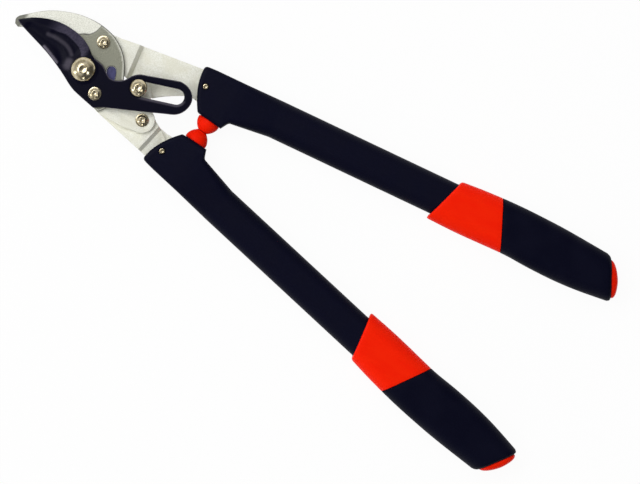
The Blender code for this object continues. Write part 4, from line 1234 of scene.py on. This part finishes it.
def ferrule_stations():
    """The rounded front and the flat flank, where the front's curve dies away."""
    flank = (FERRULE_HALF, FERRULE_CORNER)
    mouth = (bumper_edge(FRONT, 1.0), FERRULE_OUT, *flank)
    stations = [(along, (mouth[0] + 0.4 * (shape[0] - mouth[0]),) + shape[1:], front_bend(1.0))
                for along, shape in rounding(FRONT, mouth, FRONT_ROUND, True)]
    for i in range(1, 9):
        part = i / 8
        share = float(np.interp(part, (0, 0.32, 0.67, 1), (1.0, 0.7, 0.35, 0.05)))
        along = FRONT + FERRULE * part
        if along > FRONT + FRONT_ROUND:
            outer = FERRULE_OUT + 0.5 * min(1.0, part / 0.32)
            stations.append((along, (bumper_edge(along, share), outer, *flank), front_bend(share)))
    return stations


def throat_stations(steps=12):
    """The step in behind the bumper, and the flow from there into the tube."""
    deep = bumper_edge(STEP, 0.0)
    stations = []
    for part in (i / steps for i in range(1, steps + 1)):
        inner = deep + (NECK[0] - deep) * math.sin(math.pi / 2 * part) ** 1.4
        shape = (inner, NECK[1], FERRULE_HALF - 0.2 * part, FERRULE_CORNER + 0.6 * part)
        stations.append((STEP + (STEP_BACK - STEP) * part, shape, straight))
    for part in (i / steps for i in range(1, steps + 1)):
        shape = tuple(a + (b - a) * part for a, b in zip(NECK, TUBE))
        stations.append((STEP_BACK + (TUBE_START - STEP_BACK) * part, shape, straight))
    return stations


def bore_stations(back):
    """The tube's open end, its bore, and the socket that widens to the mouth."""
    bore = shrunk(TUBE, WALL)
    return [(back, TUBE, straight), (back, bore, straight), (SOCKET_END, bore, straight),
            (SOCKET_END, SOCKET_NARROW, straight), (TAPER_END, SOCKET_WIDE, straight),
            (FRONT, SOCKET_WIDE, front_bend(1.0))]


print("the ferrule reaches", round(-bumper_edge(STEP, 0.0), 1), "mm inwards at its step")

# %% Holes in the ferrule
def lathe(profile, place, around=40):
    """A closed mesh turned from (radius, height) points; place puts a turned point in the tool."""
    turns = [2 * math.pi * i / around for i in range(around)]
    rings = [[place(radius * math.cos(turn), radius * math.sin(turn), height)
              for turn in (turns if radius else turns[:1])] for radius, height in profile]
    return finished(over_rings(rings, "tips"), "lathe")


def standing(side):
    """Place for the rivet: its axis stands upright in the ferrule."""
    x, y = handle_point(side, *RIVET)
    return lambda a, b, height: at(x + a, y + b, height)


def lying(side):
    """Place for the bumper: its axis crosses the tool, and heights count out from the middle line."""
    return lambda a, b, height: at(BUMPER_X + a, side * height, HANDLE_MID + b)


def drilled(data, drills):
    """A mesh after closed shapes have been taken out of it."""
    body = bpy.data.objects.new("body", data)
    things = [body] + [bpy.data.objects.new("drill", shape) for shape in drills]
    for drill in things[1:]:
        cut = body.modifiers.new("cut", "BOOLEAN")
        cut.operation = "DIFFERENCE"
        cut.solver = "EXACT"
        cut.object = drill
    for thing in things:
        bpy.context.scene.collection.objects.link(thing)
    result = bpy.data.meshes.new_from_object(body.evaluated_get(bpy.context.evaluated_depsgraph_get()))
    for thing in things:
        bpy.data.objects.remove(thing)
    return result


RIVET_DRILL = ((0, -1), (3.15, -1), (3.0, 0.15), (3.0, 1.6), (2.2, 1.6), (2.2, 26.4), (3.0, 26.4),
               (3.0, 27.85), (3.15, 29), (0, 29))
STEM_DRILL = ((0, FACE_Y - 1), (4.3, FACE_Y - 1), (4.3, FACE_Y + 8.6), (0, FACE_Y + 8.6))
SIDES = ((1, "upper"), (-1, "lower"))
for side, name in SIDES:
    stations = ferrule_stations() + throat_stations() + bore_stations(BODY_END + later(side))
    body = drilled(skin(side, stations, "meet"),
                   [lathe(RIVET_DRILL, standing(side)), lathe(STEM_DRILL, lying(side))])
    hand_over(body, name + "_handle", "navy_plastic", 42)

# %% [markdown]
# ## Collar, grip and end cap
#
# The grip swells towards its middle and bulges more on the inside, where the fingers close. The red
# collar has slanting ends and is part of the same swell. Its front edge is well rounded, and where
# two mouldings meet both edges are rounded a little, so a thin dark line runs between them.

# %% Sleeves on the tube
SWELL_OUT = ((0, 19.5), (0.15, 20.8), (0.3, 21.6), (0.45, 22.1), (0.6, 21.7), (0.75, 20.6), (1, 17.3))
SWELL_IN = ((0, 20.9), (0.15, 21.6), (0.36, 20.9), (0.5, 22.2), (0.65, 22.8), (0.8, 21.9), (1, 18.8))
FRONT_SLANT, JOINT_SLANT, END_SLANT = 0.357, -0.41, -0.445
COLLAR_ROUND, JOINT_ROUND, END_ROUND = 1.8, 0.5, 3.4
GRIP_HALF, GRIP_CORNER = 14.0, 12.0
CAP_DEEP, CAP_STEPS = 6.2, 12
swell_out = np.array(curve(SWELL_OUT, 12))
swell_in = np.array(curve(SWELL_IN, 12))


def grip_shape(along):
    share = (along - COLLAR_FRONT) / (GRIP_END - COLLAR_FRONT)
    return (-float(np.interp(share, *swell_in.T)), float(np.interp(share, *swell_out.T)), GRIP_HALF,
            GRIP_CORNER)


def swelling(start, end, first_slant, last_slant, steps):
    """Stations along the swell, whose slant changes evenly."""
    return [(start + (end - start) * i / steps, grip_shape(start + (end - start) * i / steps),
             slant(first_slant + (last_slant - first_slant) * i / steps)) for i in range(steps + 1)]


def rounded_end(along, radius, amount, forwards, steps=5):
    return [(place_at, shape, slant(amount))
            for place_at, shape in rounding(along, grip_shape(along), radius, forwards, steps)]


def collar_stations():
    bore = shrunk(TUBE, -GAP)
    outside = rounded_end(COLLAR_FRONT, COLLAR_ROUND, FRONT_SLANT, True)[:-1]
    outside += swelling(COLLAR_FRONT + COLLAR_ROUND, GRIP_FRONT - JOINT_ROUND, FRONT_SLANT, JOINT_SLANT, 14)
    outside += rounded_end(GRIP_FRONT, JOINT_ROUND, JOINT_SLANT, False, 3)[1:]
    return outside + [(GRIP_FRONT, bore, slant(JOINT_SLANT)), (COLLAR_FRONT, bore, slant(FRONT_SLANT))]


def grip_stations():
    bore, narrow = shrunk(TUBE, -GAP), shrunk(TUBE, 2.2)
    start, stair = GRIP_FRONT + GAP, BODY_END + GAP
    outside = rounded_end(start, JOINT_ROUND, JOINT_SLANT, True, 3)[:-1]
    outside += swelling(start + JOINT_ROUND, GRIP_END - END_ROUND, JOINT_SLANT, END_SLANT, 26)
    outside += rounded_end(GRIP_END, END_ROUND, END_SLANT, False, 8)[1:]
    return outside + [(GRIP_END, narrow, slant(END_SLANT)), (stair, narrow, straight),
                      (stair, bore, straight), (start, bore, slant(JOINT_SLANT))]


def cap_stations():
    plug = shrunk(TUBE, 2.5)
    inner, outer, half, corner = shrunk(grip_shape(GRIP_END), END_ROUND)
    seat = GRIP_END + GAP
    stations = [(BODY_END + 2 * GAP, plug, straight), (seat, plug, slant(END_SLANT))]
    for i in range(CAP_STEPS + 1):
        angle = math.radians(84 * i / CAP_STEPS)
        wide, tall = math.cos(angle), 0.35 + 0.65 * math.cos(angle)
        shape = (inner * wide, outer * wide, half * tall, min(corner * tall, 0.95 * outer * wide))
        stations.append((seat + CAP_DEEP * math.sin(angle), shape, slant(END_SLANT)))
    return stations


for side, name in SIDES:
    for what, slot, stations, ends in (("collar", "red_plastic", collar_stations(), "meet"),
                                       ("grip", "navy_rubber", grip_stations(), "meet"),
                                       ("end_cap", "red_plastic", cap_stations(), "caps")):
        placed = [(along + later(side), shape, bend) for along, shape, bend in stations]
        hand_over(skin(side, placed, ends), name + "_" + what, slot, 42)

# %% [markdown]
# ## Bumpers
#
# Two soft domes stop the handles when the tool is closed. Each sits on a stem in its ferrule, and the
# tips press each other flat over the width of a fingertip.

# %% Bumpers
DOME = ((3.9, 0.03), (4.25, 0.12), (4.6, 0.4), (5.3, 1.0), (6.4, 2.0), (7.3, 3.0), (8.0, 4.0), (8.6, 5.0),
        (9.07, 6.0), (9.45, 7.0), (9.66, 8.0), (9.8, 9.0), (9.8, 10.2))
SEAT = FACE_Y - 0.04
STEM_END = FACE_Y + 8.0
bumper_profile = ([(0, DOME[0][1])] + curve(DOME, 2)
                  + [(9.7, SEAT - 0.1), (9.5, SEAT), (4.0, SEAT), (4.0, STEM_END - 0.3), (3.7, STEM_END),
                     (0, STEM_END)])
for side, name in SIDES:
    hand_over(lathe(bumper_profile, lying(side), 56), name + "_bumper", "red_rubber", 40)

# %% [markdown]
# ## Table and light
#
# The tool lies on a white table in a bright, even room, so its shadow is faint. The sky is brighter
# low down than overhead, which gives the domed heads their darker tops, and it is dimmer on one side,
# which darkens their lower right flanks. Soft lamps make the highlights. The table's white is its own
# colour. Where it is seen directly, in a mirror or through glass, a glow makes nearly all of its
# white, so that only a faint part of the tool's shadow is left.

# %% Table and sky
TABLE_HALF = 9.0
TABLE_GLOW = 0.95


def table_piece():
    data = bpy.data.meshes.new("table")
    corners = [(x * TABLE_HALF, y * TABLE_HALF, 0) for x, y in ((-1, -1), (1, -1), (1, 1), (-1, 1))]
    data.from_pydata(corners, [], [(0, 1, 2, 3)])
    table = bpy.data.objects.new("table", data)
    bpy.context.scene.collection.objects.link(table)
    f = Finish("white_table")
    fine = f.noise(1.5, 2, 0.5)
    camera_ray, glossy_ray, through_ray = [f.node("ShaderNodeLightPath", output="Is %s Ray" % kind)
                                           for kind in ("Camera", "Glossy", "Transmission")]
    seen = f.spread(camera_ray + glossy_ray + through_ray, 0, 1)
    colour = f.blend(fine, (0.92, 0.92, 0.92, 1), (0.94, 0.94, 0.94, 1))
    matt = f.node("ShaderNodeBsdfDiffuse", None, {"Color": colour})
    glow = f.node("ShaderNodeEmission", None, {"Color": (1, 1, 1, 1), "Strength": 1.0})
    both = f.node("ShaderNodeMixShader", None, {0: seen * TABLE_GLOW, 1: matt, 2: glow})
    data.materials.append(f.close(both))


table_piece()
SKY = ((0.0, 0.95), (0.2, 0.90), (0.36, 0.50), (0.5, 0.40), (0.62, 0.72), (0.78, 0.70), (0.92, 0.28),
       (1.0, 0.12))


def picture_way(azimuth):
    """A level direction; azimuth is in the picture, and 90 is up."""
    return right * math.cos(math.radians(azimuth)) + up * math.sin(math.radians(azimuth))


def room():
    """The sky, brighter low down and dimmer on one side."""
    world = bpy.data.worlds.new("room")
    bpy.context.scene.world = world
    f = Finish("room", world)
    way = f.node("ShaderNodeTexCoord", output="Generated")
    tall = f.node("ShaderNodeSeparateXYZ", None, {0: way}, "Z")
    levels = f.node("ShaderNodeValToRGB", {"stops": [(z, (v, v, v, 1)) for z, v in SKY]}, {0: tall})
    aside = f.node("ShaderNodeVectorMath", {"operation": "DOT_PRODUCT"},
                   {0: way, 1: tuple(picture_way(-40))}, "Value")
    colour = f.mottle(aside, 0.1, 0.5, levels, (0.05, 0.05, 0.05, 1), 0.92)
    f.close(f.node("ShaderNodeBackground", None, {"Color": colour, "Strength": 1.0}), "ShaderNodeOutputWorld")


room()

# %% Lamps
LAMP_FAR = 1.6


def lamp(name, azimuth, height, size, power):
    """A square soft lamp that looks at the tool from a direction in the picture and a height in degrees."""
    data = bpy.data.lights.new(name, "AREA")
    data.size = size
    data.energy = power
    made = bpy.data.objects.new(name, data)
    way = picture_way(azimuth) * math.cos(math.radians(height)) + back * math.sin(math.radians(height))
    made.location = way * LAMP_FAR
    made.rotation_euler = way.to_track_quat("Z", "Y").to_euler()
    bpy.context.scene.collection.objects.link(made)


lamp("lamp_top", 125, 60, 0.8, 7.5)
lamp("lamp_left", 175, 54, 0.6, 5.0)
lamp("lamp_right", 320, 50, 0.5, 2.6)
lamp("lamp_low_left", 195, 22, 0.35, 1.8)
lamp("lamp_low_front", 265, 22, 0.3, 1.4)
bpy.context.scene.view_settings.view_transform = "Standard"
print("five lamps and a room")
